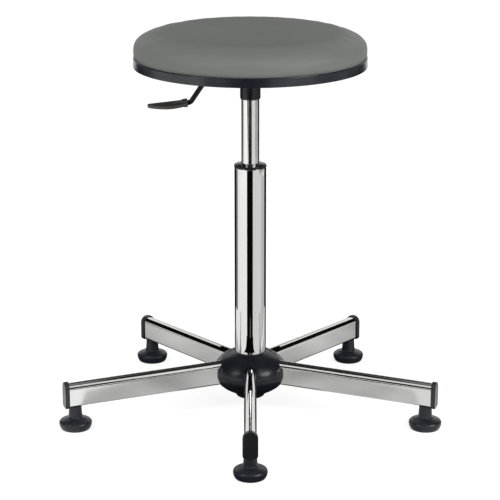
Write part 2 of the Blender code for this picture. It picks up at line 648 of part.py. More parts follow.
def build_mechanism(seat):
    """The socket tube, the lever bracket welded round it and the plate bolted under the seat."""
    lower = cylinder_radius(SOCKET_BOTTOM) + GAP
    upper = cylinder_radius(SOCKET_TOP) + GAP
    rounding = arc(
        (SOCKET_TUBE_RADIUS - SOCKET_TUBE_ROUND, SOCKET_BOTTOM + SOCKET_TUBE_ROUND), SOCKET_TUBE_ROUND,
        -math.pi / 2.0, 0.0, 3,
    )
    outline = [(lower, SOCKET_BOTTOM)] + rounding + [(SOCKET_TUBE_RADIUS, SOCKET_TOP), (upper, SOCKET_TOP)]
    add_piece("socket_tube", turned(outline), BLACK_ENAMEL, seat)

    half = BRACKET_WIDTH / 2.0
    inside = half - BRACKET_WALL
    channel = [
        (-half, BRACKET_TOP), (-half, BRACKET_BOTTOM), (half, BRACKET_BOTTOM), (half, BRACKET_TOP),
        (inside, BRACKET_TOP), (inside, BRACKET_FLOOR_TOP),
        (-inside, BRACKET_FLOOR_TOP), (-inside, BRACKET_TOP),
    ]
    outline = [(-BRACKET_LEVER_SIDE, y, z) for y, z in channel]
    length = BRACKET_LEVER_SIDE + BRACKET_FRONT
    bracket = add_piece("lever_bracket", prism(outline, (length, 0.0, 0.0)), BLACK_ENAMEL, seat)
    hole = rod(
        SOCKET_TUBE_RADIUS + GAP, BRACKET_BOTTOM - BRACKET_WALL, BRACKET_FLOOR_TOP + BRACKET_WALL, ROUND_STEPS
    )
    boolean(bracket, add_cutter("bracket_socket_hole", hole, seat))
    pin_hole = rod(PIVOT_PIN_RADIUS + GAP, -BRACKET_WIDTH, BRACKET_WIDTH)
    across = add_cutter("bracket_pin_hole", pin_hole, seat)
    across.location = (-LEVER_PIVOT_REACH, 0.0, PIVOT_Z)
    across.rotation_euler = (math.pi / 2.0, 0.0, 0.0)
    boolean(bracket, across)

    reach = half + PIVOT_PIN_PROUD
    side = half + GAP
    outline = [
        (0.0, -reach), (PIVOT_PIN_RADIUS, -reach), (PIVOT_PIN_RADIUS, side), (PIVOT_CLIP_RADIUS, side),
        (PIVOT_CLIP_RADIUS, side + PIVOT_CLIP_THICKNESS), (0.0, side + PIVOT_CLIP_THICKNESS),
    ]
    pin = add_piece("pivot_pin", turned(outline, SMALL_STEPS), ZINC_STEEL, seat)
    clip_base = -side - PIVOT_CLIP_THICKNESS
    clip = ring(PIVOT_PIN_RADIUS + GAP, PIVOT_CLIP_RADIUS, clip_base, PIVOT_CLIP_THICKNESS, SMALL_STEPS)
    clip = add_piece("pivot_clip", clip, ZINC_STEEL, seat)
    for item in (pin, clip):
        item.location = (-LEVER_PIVOT_REACH, 0.0, PIVOT_Z)
        item.rotation_euler = (math.pi / 2.0, 0.0, 0.0)

    side = PLATE_SIZE / 2.0 - PLATE_CORNER
    outline = []
    for index, (x, y) in enumerate(((side, side), (-side, side), (-side, -side), (side, -side))):
        start = index * math.pi / 2.0
        outline += arc((x, y), PLATE_CORNER, start, start + math.pi / 2.0, 4)
    plate = prism([(x, y, PLATE_BOTTOM) for x, y in outline], (0.0, 0.0, PLATE_THICKNESS))
    plate = add_piece("mount_plate", plate, BLACK_ENAMEL, seat)
    hole = rod(BOLT_RADIUS + GAP, PLATE_BOTTOM - PLATE_THICKNESS, PAN_PAD_TOP + PLATE_THICKNESS)
    holes = add_cutter("bolt_holes", copies(hole, bolt_places()), seat)
    boolean(plate, holes)
    return holes


def build_fasteners(seat):
    """Flanged bolts and tee nuts that hold the plate, the pan and the board together."""
    head_top = PLATE_BOTTOM - GAP
    head_base = head_top - BOLT_HEAD_HEIGHT
    tip = BOARD_TOP - TEE_NUT_FLANGE
    bolt_outline = [
        (0.0, head_base), (BOLT_HEAD_RADIUS - BOLT_HEAD_CHAMFER, head_base),
        (BOLT_HEAD_RADIUS, head_base + BOLT_HEAD_CHAMFER), (BOLT_HEAD_RADIUS, head_top),
        (BOLT_RADIUS, head_top), (BOLT_RADIUS, tip), (0.0, tip),
    ]
    bore = BOLT_RADIUS + GAP
    barrel = bore + TEE_NUT_WALL
    top = BOARD_TOP
    under = top - TEE_NUT_FLANGE
    nut_outline = [
        (bore, top - TEE_NUT_DEPTH), (barrel, top - TEE_NUT_DEPTH), (barrel, under),
        (TEE_NUT_FLANGE_RADIUS, under), (TEE_NUT_FLANGE_RADIUS, top), (bore, top),
    ]
    for number, place in enumerate(bolt_places(), start=1):
        bolt = add_piece(f"plate_bolt_{number}", turned(bolt_outline, SMALL_STEPS), ZINC_STEEL, seat)
        bolt.location = place
        nut = add_piece(f"tee_nut_{number}", turned(nut_outline, SMALL_STEPS), ZINC_STEEL, seat)
        nut.location = place
    clear = barrel + GAP
    rebate = under - GAP
    outline = [
        (0.0, BOARD_BOTTOM - BOARD_THICKNESS), (clear, BOARD_BOTTOM - BOARD_THICKNESS), (clear, rebate),
        (TEE_NUT_FLANGE_RADIUS + GAP, rebate), (TEE_NUT_FLANGE_RADIUS + GAP, top + BOARD_THICKNESS),
        (0.0, top + BOARD_THICKNESS),
    ]
    return add_cutter("tee_nut_holes", copies(turned(outline, SMALL_STEPS), bolt_places()), seat)


def build_lever(lever):
    """The bent release rod, its cross tube on the pivot pin and the moulded paddle."""
    bore = PIVOT_PIN_RADIUS + GAP
    eye = ring(bore, LEVER_EYE_RADIUS, -LEVER_EYE_LENGTH / 2.0, LEVER_EYE_LENGTH, SMALL_STEPS)
    eye = add_piece("lever_eye", eye, ZINC_STEEL, lever)
    eye.rotation_euler = (math.pi / 2.0, 0.0, 0.0)

    foot_x = -LEVER_KNEE_REACH - LEVER_DROP / math.tan(LEVER_DROP_ANGLE)
    foot_z = LEVER_Z - LEVER_DROP
    straight = PADDLE_POCKET - GAP
    end = (foot_x - straight * math.cos(LEVER_PADDLE_SLOPE), foot_z - straight * math.sin(LEVER_PADDLE_SLOPE))
    corners = [(LEVER_INNER_END, LEVER_Z), (-LEVER_KNEE_REACH, LEVER_Z), (foot_x, foot_z), end]
    route = bent_route(corners, LEVER_KNEE_RADIUS, LEVER_BEND_STEPS)
    curve = bpy.data.curves.new("lever_rod", "CURVE")
    curve.dimensions = "3D"
    curve.bevel_depth = LEVER_ROD_RADIUS
    curve.bevel_resolution = 3
    curve.use_fill_caps = True
    spline = curve.splines.new("POLY")
    spline.points.add(len(route) - 1)
    for point, (x, z) in zip(spline.points, route):
        point.co = (x + LEVER_PIVOT_REACH, 0.0, z - PIVOT_Z, 1.0)
    bar = bpy.data.objects.new("lever_rod", curve)
    bar.data.materials.append(finish_material("lever_rod", BLACK_ENAMEL))
    bar.parent = lever
    bpy.context.collection.objects.link(bar)

    place = Matrix.Translation((foot_x + LEVER_PIVOT_REACH, 0.0, foot_z - PIVOT_Z))
    place = place @ Matrix.Rotation(math.pi, 4, "Z") @ Matrix.Rotation(LEVER_PADDLE_SLOPE, 4, "Y")
    place = place @ Matrix.Rotation(-PADDLE_TILT, 4, "X")
    blade = add_piece("lever_paddle", paddle_blade(), BLACK_PLASTIC, lever)
    bevel = blade.modifiers.new("edge_round", "BEVEL")
    bevel.width = PADDLE_EDGE_ROUND
    bevel.segments = 2
    bevel.limit_method = "ANGLE"
    bevel.angle_limit = math.radians(50.0)
    root = LEVER_ROD_RADIUS + GAP + PADDLE_BOSS_WALL
    start = LEVER_KNEE_RADIUS * math.tan((LEVER_DROP_ANGLE - LEVER_PADDLE_SLOPE) / 2.0)
    outline = [
        (0.0, start), (root - PADDLE_EDGE_ROUND, start), (root, start + PADDLE_EDGE_ROUND),
        (PADDLE_BOSS_END_RADIUS, PADDLE_BOSS_LENGTH), (0.0, PADDLE_BOSS_LENGTH),
    ]
    boss = add_cutter("paddle_boss", turned(outline, SMALL_STEPS), lever)
    pocket = rod(LEVER_ROD_RADIUS + GAP, 0.0, PADDLE_POCKET)
    pocket = add_cutter("paddle_pocket", pocket, lever)
    along = Matrix.Rotation(math.pi / 2.0, 4, "Y")
    blade.matrix_local = place
    boss.matrix_local = place @ along
    pocket.matrix_local = place @ along
    boolean(blade, boss, "UNION")
    boolean(blade, pocket)


def bent_route(corners, radius, steps):
    """Round the inner corners of a path in a plane with arcs of one radius."""
    route = [corners[0]]
    for before, corner, after in zip(corners, corners[1:], corners[2:]):
        here = Vector(corner)
        back = (Vector(before) - here).normalized()
        ahead = (Vector(after) - here).normalized()
        half = back.angle(ahead) / 2.0
        centre = here + (back + ahead).normalized() * radius / math.sin(half)
        first = here + back * radius / math.tan(half) - centre
        last = here + ahead * radius / math.tan(half) - centre
        for step in range(steps + 1):
            route.append(tuple(centre + first.slerp(last, step / steps).normalized() * radius))
    route.append(corners[-1])
    return route


def paddle_blade():
    """The flat blade of the paddle: +X is outward, +Y the near edge, which bulges; the far edge is hollow."""
    start = LEVER_KNEE_RADIUS * math.tan((LEVER_DROP_ANGLE - LEVER_PADDLE_SLOPE) / 2.0) + PADDLE_EDGE_ROUND
    span = PADDLE_LENGTH - start
    near = []
    far = []
    for step in range(PADDLE_STEPS + 1):
        share = step / PADDLE_STEPS
        bulge = PADDLE_NEAR_BULGE * math.sin(math.pi * share ** PADDLE_BULGE_SHIFT)
        hollow = PADDLE_FAR_HOLLOW * math.sin(math.pi * share)
        near.append((start + span * share, PADDLE_ROOT_NEAR * (1.0 - share) + PADDLE_TIP_WIDTH * share + bulge))
        far.append((start + span * share, hollow - PADDLE_ROOT_FAR * (1.0 - share) - PADDLE_TIP_WIDTH * share))
    outline = [(x, y, -PADDLE_THICKNESS / 2.0) for x, y in near + far[::-1]]
    return prism(outline, (0.0, 0.0, PADDLE_THICKNESS))


def crown(offset):
    """The cushion's outline drawn in by an offset, from the top's centre to its widest level."""
    points = []
    radius = SEAT_RADIUS - offset
    height = CROWN_HEIGHT - offset
    for step in range(CROWN_STEPS + 1):
        angle = math.pi / 2.0 * step / CROWN_STEPS
        across = radius * math.sin(angle) ** (2.0 / CROWN_FLATNESS)
        points.append((across, CROWN_BASE + height * max(math.cos(angle), 0.0) ** (2.0 / CROWN_SHOULDER)))
    points[-1] = (radius, CROWN_BASE)
    return points


def build_seat(seat, bolt_holes):
    """Pan with its rim band, board, foam and the stretched vinyl cover."""
    inside = SEAT_RADIUS - PAN_WALL
    pad_radius = HEM_RADIUS - GAP
    lower = arc((SEAT_RADIUS - PAN_EDGE_ROUND, PAN_BOTTOM + PAN_EDGE_ROUND), PAN_EDGE_ROUND,
                -math.pi / 2.0, 0.0, 2)
    upper = arc((SEAT_RADIUS - PAN_EDGE_ROUND, PAN_TOP - PAN_EDGE_ROUND), PAN_EDGE_ROUND,
                0.0, math.pi / 2.0, 2)
    outline = [(0.0, PAN_BOTTOM)] + lower + upper + [
        (inside, PAN_TOP), (inside, PAN_BOTTOM + PAN_FLOOR), (pad_radius, PAN_BOTTOM + PAN_FLOOR),
        (pad_radius, PAN_PAD_TOP), (0.0, PAN_PAD_TOP),
    ]
    pan = add_piece("seat_pan", turned(outline, SEAT_STEPS), BLACK_PLASTIC, seat)
    boolean(pan, bolt_holes)

    outline = [(0.0, BOARD_BOTTOM), (BOARD_RADIUS, BOARD_BOTTOM), (BOARD_RADIUS, BOARD_TOP), (0.0, BOARD_TOP)]
    board = add_piece("seat_board", turned(outline, SEAT_STEPS), PLYWOOD, seat)
    boolean(board, build_fasteners(seat))

    base = BOARD_TOP + GAP
    outline = crown(COVER_THICKNESS + GAP) + [(BOARD_RADIUS, base), (0.0, base)]
    add_piece("seat_foam", turned(outline, SEAT_STEPS), FOAM, seat)

    hem_top = HEM_BOTTOM + COVER_THICKNESS
    inner_skirt = COVER_SKIRT_RADIUS - COVER_THICKNESS
    outside = crown(0.0) + [(COVER_SKIRT_RADIUS, PAN_TOP), (COVER_SKIRT_RADIUS, HEM_BOTTOM)]
    lining = [(HEM_RADIUS, HEM_BOTTOM), (HEM_RADIUS, hem_top), (inner_skirt, hem_top), (inner_skirt, PAN_TOP)]
    outline = outside + lining + crown(COVER_THICKNESS)[::-1]
    add_piece("seat_cover", turned(outline, SEAT_STEPS), GREY_VINYL, seat)


def build():
    """Put the whole stool together."""
    clear_scene()
    stool = add_axis("stool_axis", (0.0, AXIS_Y, 0.0))
    swivel = add_axis("swivel_axis", (0.0, 0.0, 0.0), stool)
    cage_axis = add_axis("bearing_axis", (0.0, 0.0, 0.0), stool)
    seat = add_axis("seat_axis", (0.0, 0.0, 0.0), swivel)
    pin_axis = add_axis("release_axis", (0.0, 0.0, PIN_TOP), seat)
    lever = add_axis("lever_axis", (-LEVER_PIVOT_REACH, 0.0, PIVOT_Z), seat)
    build_column(stool)
    build_shroud(stool)
    for index in range(ARM_COUNT):
        build_arm(index, stool)
    build_bearing(stool, swivel, cage_axis)
    build_gas_cylinder(seat, pin_axis)
    bolt_holes = build_mechanism(seat)
    build_lever(lever)
    build_seat(seat, bolt_holes)


build()
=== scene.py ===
import math

import bmesh
import bpy
from mathutils import Matrix, Vector
from mathutils.bvhtree import BVHTree


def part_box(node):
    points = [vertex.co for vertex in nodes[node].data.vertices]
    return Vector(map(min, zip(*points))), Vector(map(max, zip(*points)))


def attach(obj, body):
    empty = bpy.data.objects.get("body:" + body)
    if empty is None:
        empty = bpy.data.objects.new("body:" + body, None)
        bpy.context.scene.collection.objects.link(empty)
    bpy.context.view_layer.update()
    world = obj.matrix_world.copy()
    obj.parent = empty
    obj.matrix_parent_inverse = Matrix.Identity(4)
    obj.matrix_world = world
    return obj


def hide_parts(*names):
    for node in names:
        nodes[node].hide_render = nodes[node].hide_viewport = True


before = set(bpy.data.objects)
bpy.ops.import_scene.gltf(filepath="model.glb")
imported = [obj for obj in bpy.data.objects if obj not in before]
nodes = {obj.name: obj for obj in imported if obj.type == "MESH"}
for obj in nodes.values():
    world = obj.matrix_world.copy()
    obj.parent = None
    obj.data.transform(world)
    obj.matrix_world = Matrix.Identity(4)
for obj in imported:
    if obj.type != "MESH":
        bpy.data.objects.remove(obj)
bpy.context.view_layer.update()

scene = bpy.context.scene
scene.view_settings.view_transform = "Standard"

# Camera: a long lens nearly 3 m in front of the stool and well above its seat, tipped down at it.
# Its place and its tilt were fitted to the photograph's edges.
camera_pitch = 0.28025
camera = bpy.data.objects.new("camera", bpy.data.cameras.new("camera"))
camera.location = (-0.0005, -2.8889, 1.10592)
camera.rotation_euler = (math.pi / 2.0 - camera_pitch, 0.0, 0.0)
camera.data.sensor_width = 36.0
camera.data.lens = 137.7
scene.collection.objects.link(camera)
scene.camera = camera


# Studio: a white floor that runs out to a white world, soft lamps, and cards from black to pale
# that lie on the floor or stand round the stool. The cards only show in polished surfaces, and
# give the chrome its dark lines and grey bands.
class Wire:
    """An output in a shader, so that sums and products of values read as sums and products."""

    def __init__(self, finish, socket):
        self.finish = finish
        self.socket = socket

    def maths(self, operation, first, second):
        return self.finish.node("Math", {"operation": operation}, {0: first, 1: second})

    def __add__(self, other):
        return self.maths("ADD", self, other)

    def __radd__(self, other):
        return self.maths("ADD", other, self)

    def __sub__(self, other):
        return self.maths("SUBTRACT", self, other)

    def __rsub__(self, other):
        return self.maths("SUBTRACT", other, self)

    def __mul__(self, other):
        return self.maths("MULTIPLY", self, other)

    def __rmul__(self, other):
        return self.maths("MULTIPLY", other, self)


class Finish:
    """A material whose nodes are made one by one. What is even all over is set on the shader itself."""

    def __init__(self, name, even=None):
        self.material = bpy.data.materials.new(name)
        self.material.use_nodes = True
        self.tree = self.material.node_tree
        self.shader = self.tree.nodes["Principled BSDF"]
        for socket, value in (even or {}).items():
            self.shader.inputs[socket].default_value = value

    def join(self, value, socket):
        if isinstance(value, Wire):
            self.tree.links.new(value.socket, socket)
        else:
            socket.default_value = value

    def node(self, kind, settings=None, sockets=None, output=0):
        made = self.tree.nodes.new("ShaderNode" + kind)
        for name, value in (settings or {}).items():
            setattr(made, name, value)
        for name, value in (sockets or {}).items():
            self.join(value, made.inputs[name])
        return Wire(self, made.outputs[output])

    def feed(self, socket, value):
        self.join(value, self.shader.inputs[socket])

    def surface(self, colour, roughness, normal):
        self.feed("Base Color", colour)
        self.feed("Roughness", roughness)
        self.feed("Normal", normal)

    def mix(self, factor, first, second):
        settings = {"data_type": "RGBA"}
        return self.node("Mix", settings, {0: factor, 6: first, 7: second}, 2)

    def between(self, value, low, high, start=0.0, end=1.0):
        """A value that goes from start to end as another goes from low to high, and holds outside."""
        sockets = {"Value": value, "From Min": low, "From Max": high, "To Min": start, "To Max": end}
        return self.node("MapRange", None, sockets)

    def spread(self, value, start, end):
        """From start to end over the middle of a noise, where most of it lies."""
        return self.between(value, 0.3, 0.7, start, end)

    def place(self):
        return self.node("TexCoord", output="Object")

    def stretched(self, scale):
        return self.node("Mapping", None, {"Vector": self.place(), "Scale": scale})

    def noise(self, scale, detail=3.0, rough=0.5, at=None):
        sockets = {"Vector": at or self.place(), "Scale": scale, "Detail": detail, "Roughness": rough}
        return self.node("TexNoise", None, sockets)

    def edge(self):
        """Nought on a flat or hollow place, one on an outer edge."""
        return self.between(self.node("NewGeometry", output="Pointiness"), 0.52, 0.58)

    def bump(self, height, distance, strength):
        return self.node("Bump", None, {"Height": height, "Distance": distance, "Strength": strength})


def tint(colour, factor, lift=0.0):
    """A colour made lighter or darker, but never more than white."""
    return tuple(min(factor * part + lift, 1.0) for part in colour) + (1.0,)


def grey(value):
    return (value, value, value, 1.0)


def mesh_data(name, mesh):
    """Mesh data from a finished mesh, which is then let go."""
    data = bpy.data.meshes.new(name)
    mesh.to_mesh(data)
    mesh.free()
    return data


def add_object(name, data, finish):
    item = bpy.data.objects.new(name, data)
    data.materials.append(finish.material)
    scene.collection.objects.link(item)
    return item


FLOOR_SIZE = 60.0
floor_mesh = bmesh.new()
bmesh.ops.create_grid(floor_mesh, x_segments=1, y_segments=1, size=FLOOR_SIZE / 2.0)
floor_finish = Finish("studio_floor", {"Roughness": 0.9, "Specular IOR Level": 0.0, "Emission Strength": 1.0})
floor_finish.feed("Base Color", floor_finish.mix(floor_finish.noise(3.0), grey(0.44), grey(0.46)))
sight = floor_finish.node("LightPath", output="Is Camera Ray")
sight = sight + floor_finish.node("LightPath", output="Is Glossy Ray")
sight = sight + floor_finish.node("LightPath", output="Is Transmission Ray")
floor_finish.feed("Emission Color", floor_finish.mix(sight, grey(0.0), grey(0.72)))
add_object("studio_floor", mesh_data("floor", floor_mesh), floor_finish)

world = bpy.data.worlds.new("studio_world")
scene.world = world
world.use_nodes = True
backdrop = world.node_tree.nodes["Background"]
backdrop.inputs["Color"].default_value = grey(1.0)
rays = world.node_tree.nodes.new("ShaderNodeLightPath")
seen = rays.outputs["Is Camera Ray"]
for kind in ("Is Glossy Ray", "Is Transmission Ray"):
    either = world.node_tree.nodes.new("ShaderNodeMath")
    either.operation = "MAXIMUM"
    world.node_tree.links.new(seen, either.inputs[0])
    world.node_tree.links.new(rays.outputs[kind], either.inputs[1])
    seen = either.outputs[0]
level = world.node_tree.nodes.new("ShaderNodeMapRange")
level.inputs["To Min"].default_value = 0.6
level.inputs["To Max"].default_value = 1.0
world.node_tree.links.new(seen, level.inputs["Value"])
world.node_tree.links.new(level.outputs[0], backdrop.inputs["Strength"])

LAMPS_AIM = Vector((0.0, 0.0, 0.35))
for name, place, size, power in (
    ("lamp_left", (-2.8, -2.2, 1.5), 1.8, 70.0),
    ("lamp_right", (2.9, -2.2, 1.5), 1.8, 94.0),
    ("lamp_above", (0.0, 0.4, 3.2), 2.4, 4.0),
):
    lamp = bpy.data.objects.new(name, bpy.data.lights.new(name, "AREA"))
    lamp.data.size = size
    lamp.data.energy = power
    lamp.location = place
    lamp.rotation_euler = (LAMPS_AIM - Vector(place)).to_track_quat("-Z", "Y").to_euler()
    scene.collection.objects.link(lamp)

low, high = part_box("column_tube")
AXIS_Y = (low.y + high.y) / 2.0
AXIS = Vector((0.0, AXIS_Y, 0.0))
BLACK_CARD = 0.003
CARD_HEIGHT = 0.002
CARD_OVER = 0.003
CARD_UNDER = 0.0015
CARD_LOWEST = 0.001
ARM_CLEAR = 0.1025


def card(name, tone, corners, brighter=1.06, scale=2.0):
    """A flat card that only shows in polished surfaces; corners are set out from the column's axis."""
    even = {"Base Color": grey(0.0), "Specular IOR Level": 0.0, "Emission Strength": 1.0}
    finish = Finish(name + "_paint", even)
    patch = finish.between(finish.noise(scale, 1.0), 0.3, 0.7)
    finish.feed("Emission Color", finish.mix(patch, grey(tone), grey(tone * brighter)))
    mesh = bmesh.new()
    mesh.faces.new([mesh.verts.new(AXIS + Vector(corner)) for corner in corners])
    sheet = add_object(name, mesh_data(name, mesh), finish)
    sheet.visible_camera = False
    sheet.visible_diffuse = False
    sheet.visible_shadow = False
    sheet.visible_transmission = False


def laid(corners, height=CARD_HEIGHT):
    return [(x, y, height) for x, y in corners]


def wall(start, end, bottom, top):
    """Corners of a card that stands upright on the line between two points."""
    return [(*start, bottom), (*end, bottom), (*end, top), (*start, top)]


card("card_front", BLACK_CARD, laid([(-0.111, -0.26), (-0.749, -1.68), (0.552, -1.68), (0.082, -0.26)]))
card("card_front_middle", 0.012, laid([
    (-0.73, -1.66), (-1.17, -2.62), (0.92, -2.62), (0.59, -1.66),
], CARD_OVER))
card("card_front_corner", 0.13, laid([
    (-1.58, -1.66), (-2.48, -2.62), (-1.16, -2.62), (-0.72, -1.66),
], CARD_OVER))
card("card_front_far", BLACK_CARD, laid([(-0.85, -2.60), (-1.15, -3.70), (1.05, -3.70), (0.80, -2.60)]))
# Painted shadow: a mottled grey ring and a near-black disc where the stool's shadow lies on the floor round and
# under the hub. Both are seen only in reflections.
card("card_painted_shadow_ring", 0.40, laid([
    (-0.17, -0.24), (0.17, -0.24), (0.28, -0.10), (0.42, 0.33), (-0.42, 0.33), (-0.28, -0.10),
], CARD_UNDER), 1.9, 7.0)
card("card_painted_shadow_disc", 0.01, laid([
    (-0.05, -0.11), (0.05, -0.11), (0.11, -0.05), (0.11, 0.05),
    (0.05, 0.11), (-0.05, 0.11), (-0.11, 0.05), (-0.11, -0.05),
]))
# The near end of card_back, just behind the column, is painted shade: the shaded floor under the hub, seen only
# in reflections.
card("card_back", BLACK_CARD, laid([
    (-0.06, -0.03), (-0.15, 0.10), (-0.31, 0.31), (-0.44, 0.345), (-0.45, 0.315), (-1.38, 0.965),
    (-1.52, 0.71), (-2.36, 1.10), (-2.30, 2.60), (2.30, 2.60), (2.36, 1.10), (1.52, 0.71),
    (1.44, 0.865), (0.47, 0.283), (0.44, 0.345), (0.31, 0.31), (0.15, 0.10), (0.06, -0.03),
]))
card("card_back_edge", 0.2, laid([(-0.53, 0.13), (-1.63, 0.41), (-1.38, 0.965), (-0.45, 0.315)]))
card("card_left", 0.46, laid([(-1.68, 0.15), (-2.59, 0.22), (-2.36, 1.10), (-1.52, 0.71)]))
rim_card = ((2.48, 0.66), (3.40, 0.90), (2.90, 3.60), (1.70, 2.55))
for side, name in ((-1.0, "card_rim_left"), (1.0, "card_rim_right")):
    card(name, 0.02, laid([(side * x, y) for x, y in rim_card]))
card("card_side", 0.48, laid([(1.50, -0.74), (9.0, -4.2), (12.0, 4.0), (1.52, 0.71), (1.66, 0.0)]))
card("card_right_edge", 0.66, laid([(0.35, -0.03), (1.67, -0.15), (1.44, 0.865), (0.47, 0.283)]))
card("card_right", 0.88, laid([(0.082, -0.27), (0.90, -2.7), (14.0, -1.0), (0.6, 0.17)], CARD_LOWEST))
for name, corners in (
    ("card_hub_back", laid([
        (-0.022, 0.013), (-0.086, 0.052), (-0.05, 0.10), (0.05, 0.10), (0.086, 0.052), (0.022, 0.013),
    ], ARM_CLEAR)),
    ("card_hub_front", laid([(-0.011, -0.022), (-0.045, -0.10), (0.033, -0.10), (0.008, -0.024)], ARM_CLEAR)),
    ("card_high_back", wall((-6.0, 3.0), (6.0, 3.0), 2.8, 7.0)),
    ("card_back_middle", wall((-0.65, 3.0), (0.65, 3.0), 1.2, 2.8)),
    ("card_back_left", wall((-6.0, 3.0), (-2.1, 3.0), 0.35, 2.8)),
    ("card_back_right", wall((2.1, 3.0), (6.0, 3.0), 0.35, 2.8)),
    ("card_high_left", wall((-3.0, -1.0), (-3.0, 3.0), 0.35, 5.0)),
    ("card_high_right", wall((3.0, -1.0), (3.0, 3.0), 0.35, 5.0)),
    ("card_ceiling", laid([(-6.0, -3.0), (6.0, -3.0), (6.0, 3.0), (-6.0, 3.0)], 7.0)),
    ("card_low_left", wall((-3.0, -3.0), (-3.0, -1.0), 0.3, 3.2)),
    ("card_low_right", wall((3.0, -3.0), (3.0, -1.0), 0.3, 1.2)),
    ("card_low_front", wall((-2.4, -2.0), (1.0, -2.0), 0.3, 1.7)),
    ("card_low_corner", wall((1.0, -2.0), (2.4, -2.0), 0.3, 1.05)),
):
    card(name, BLACK_CARD, corners)


# Column: a steel tube, ground, polished and chromed, drawn in a little at its lower end.
# Its floor carries the thrust bearing, and the five arms are welded round it.
def measured(node):
    """Half a CAD piece's width, its lowest level and its highest."""
    low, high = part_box(node)
    return (high.x - low.x) / 2.0, low.z, high.z


def closed_loop(mesh, places):
    """New vertices, joined to a closed loop of edges."""
    corners = [mesh.verts.new(place) for place in places]
    for corner, following in zip(corners, corners[1:] + corners[:1]):
        mesh.edges.new((corner, following))
    return corners


def rounded(mesh, geometry, width, segments, affect="EDGES", clamp=False):
    """Round edges or corners; the width is measured along the sides next to them."""
    bmesh.ops.bevel(
        mesh, geom=geometry, offset=width, offset_type="OFFSET", affect=affect, segments=segments,
        profile=0.5, material=-1, clamp_overlap=clamp,
    )


def corner_reach(before, corner, after, radius):
    """How far along its sides a corner is cut back for a rounding of a given radius."""
    back = (Vector(before[:2]) - Vector(corner[:2])).normalized()
    ahead = (Vector(after[:2]) - Vector(corner[:2])).normalized()
    half = back.angle(ahead) / 2.0
    return radius / math.tan(half)


def round_corners(mesh, corners, outline, segments):
    """Round the corners of a closed outline of vertices; a corner's third number is its radius."""
    count = len(outline)
    for index, point in enumerate(outline):
        if len(point) > 2:
            reach = corner_reach(outline[index - 1], point, outline[(index + 1) % count], point[2])
            rounded(mesh, [corners[index]], reach, segments, "VERTICES")


def outward(mesh):
    bmesh.ops.recalc_face_normals(mesh, faces=mesh.faces)
    return mesh


def sealed(mesh, gap=1e-6):
    """Join the points that coincide, and turn the faces outward."""
    bmesh.ops.remove_doubles(mesh, verts=mesh.verts, dist=gap)
    return outward(mesh)


def turned(outline, steps=112, segments=4):
    """A solid turned about the column's axis from a closed outline of (radius, height, rounding)."""
    mesh = bmesh.new()
    corners = closed_loop(mesh, [(point[0], 0.0, point[1]) for point in outline])
    round_corners(mesh, corners, outline, segments)
    on_axis = [edge for edge in mesh.edges if max(abs(v.co.x) for v in edge.verts) < 1e-7]
    bmesh.ops.delete(mesh, geom=on_axis, context="EDGES_FACES")
    geometry = mesh.verts[:] + mesh.edges[:]
    bmesh.ops.spin(
        mesh, geom=geometry, cent=(0.0, 0.0, 0.0), axis=(0.0, 0.0, 1.0), angle=2.0 * math.pi,
        steps=steps, use_merge=True, use_duplicate=False,
    )
    return sealed(mesh)


def moved(mesh, *steps):
    """Turn or move a whole mesh, by one or more matrices in order."""
    for step in steps:
        bmesh.ops.transform(mesh, matrix=step, space=Matrix.Identity(4), verts=mesh.verts)
    return mesh


TO_AXIS = Matrix.Translation(AXIS)
SMOOTH_ANGLE = math.radians(34.0)


def shade(piece, smooth=SMOOTH_ANGLE):
    """Smooth shading that leaves flat sides flat and tubes straight, beside their rounded edges."""
    piece.data.shade_smooth()
    piece.data.set_sharp_from_angle(angle=smooth)
    even = piece.modifiers.new("even_shading", "WEIGHTED_NORMAL")
    even.keep_sharp = True


def finished(name, mesh, finish, body, replaced=(), smooth=SMOOTH_ANGLE):
    """A finished piece on its body, in its own material, in place of CAD nodes."""
    piece = add_object(name, mesh_data(name, mesh), finish)
    shade(piece, smooth)
    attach(piece, body)
    if replaced:
        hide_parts(*replaced)
    return piece


def chrome(name, tone, scale, rough):
    """Bright chrome plate: faint handling marks, fine polishing lines and a duller edge."""
    finish = Finish(name, {"Metallic": 1.0})
    smear = finish.noise(9.0, 4.0, 0.6)
    lines = finish.noise(1.0, 2.0, 0.5, finish.stretched(scale))
    edge = finish.edge()
    plate = finish.mix(smear, tint((0.97, 0.975, 0.97), tone), tint((1.03, 1.025, 1.01), tone))
    gloss = finish.between(smear, 0.35, 0.75, rough, rough * 1.8)
    finish.surface(
        finish.mix(edge * 0.5, plate, tint((0.72, 0.72, 0.70), tone)),
        gloss + edge * 0.08 + lines * 0.01,
        finish.bump(lines, 0.00001, 0.2),
    )
    return finish


COLUMN_RADIUS, COLUMN_BOTTOM, COLUMN_TOP = measured("column_tube")
COLUMN_WALL = 0.0015
TAPER_LENGTH = 0.078
TAPER = 0.0017
FLOOR_THICKNESS = 0.004
ROD_HOLE = 0.0043


def column_radius(height):
    share = min(max((COLUMN_BOTTOM + TAPER_LENGTH - height) / TAPER_LENGTH, 0.0), 1.0)
    return COLUMN_RADIUS - TAPER * share


taper_top = COLUMN_BOTTOM + TAPER_LENGTH
inside = COLUMN_RADIUS - COLUMN_WALL
bearing_floor = COLUMN_BOTTOM + FLOOR_THICKNESS
column = turned([
    (COLUMN_RADIUS, COLUMN_TOP, 0.0005), (COLUMN_RADIUS, taper_top, 0.06),
    (column_radius(COLUMN_BOTTOM), COLUMN_BOTTOM, 0.004), (ROD_HOLE, COLUMN_BOTTOM, 0.0003),
    (ROD_HOLE, bearing_floor), (column_radius(bearing_floor) - COLUMN_WALL, bearing_floor, 0.001),
    (inside, taper_top), (inside, COLUMN_TOP, 0.0005),
], steps=144)
column_chrome = chrome("column_chrome", 0.65, (900.0, 900.0, 3.0), 0.018)
finished("chrome_column", moved(column, TO_AXIS), column_chrome, "base", ["column_tube"])


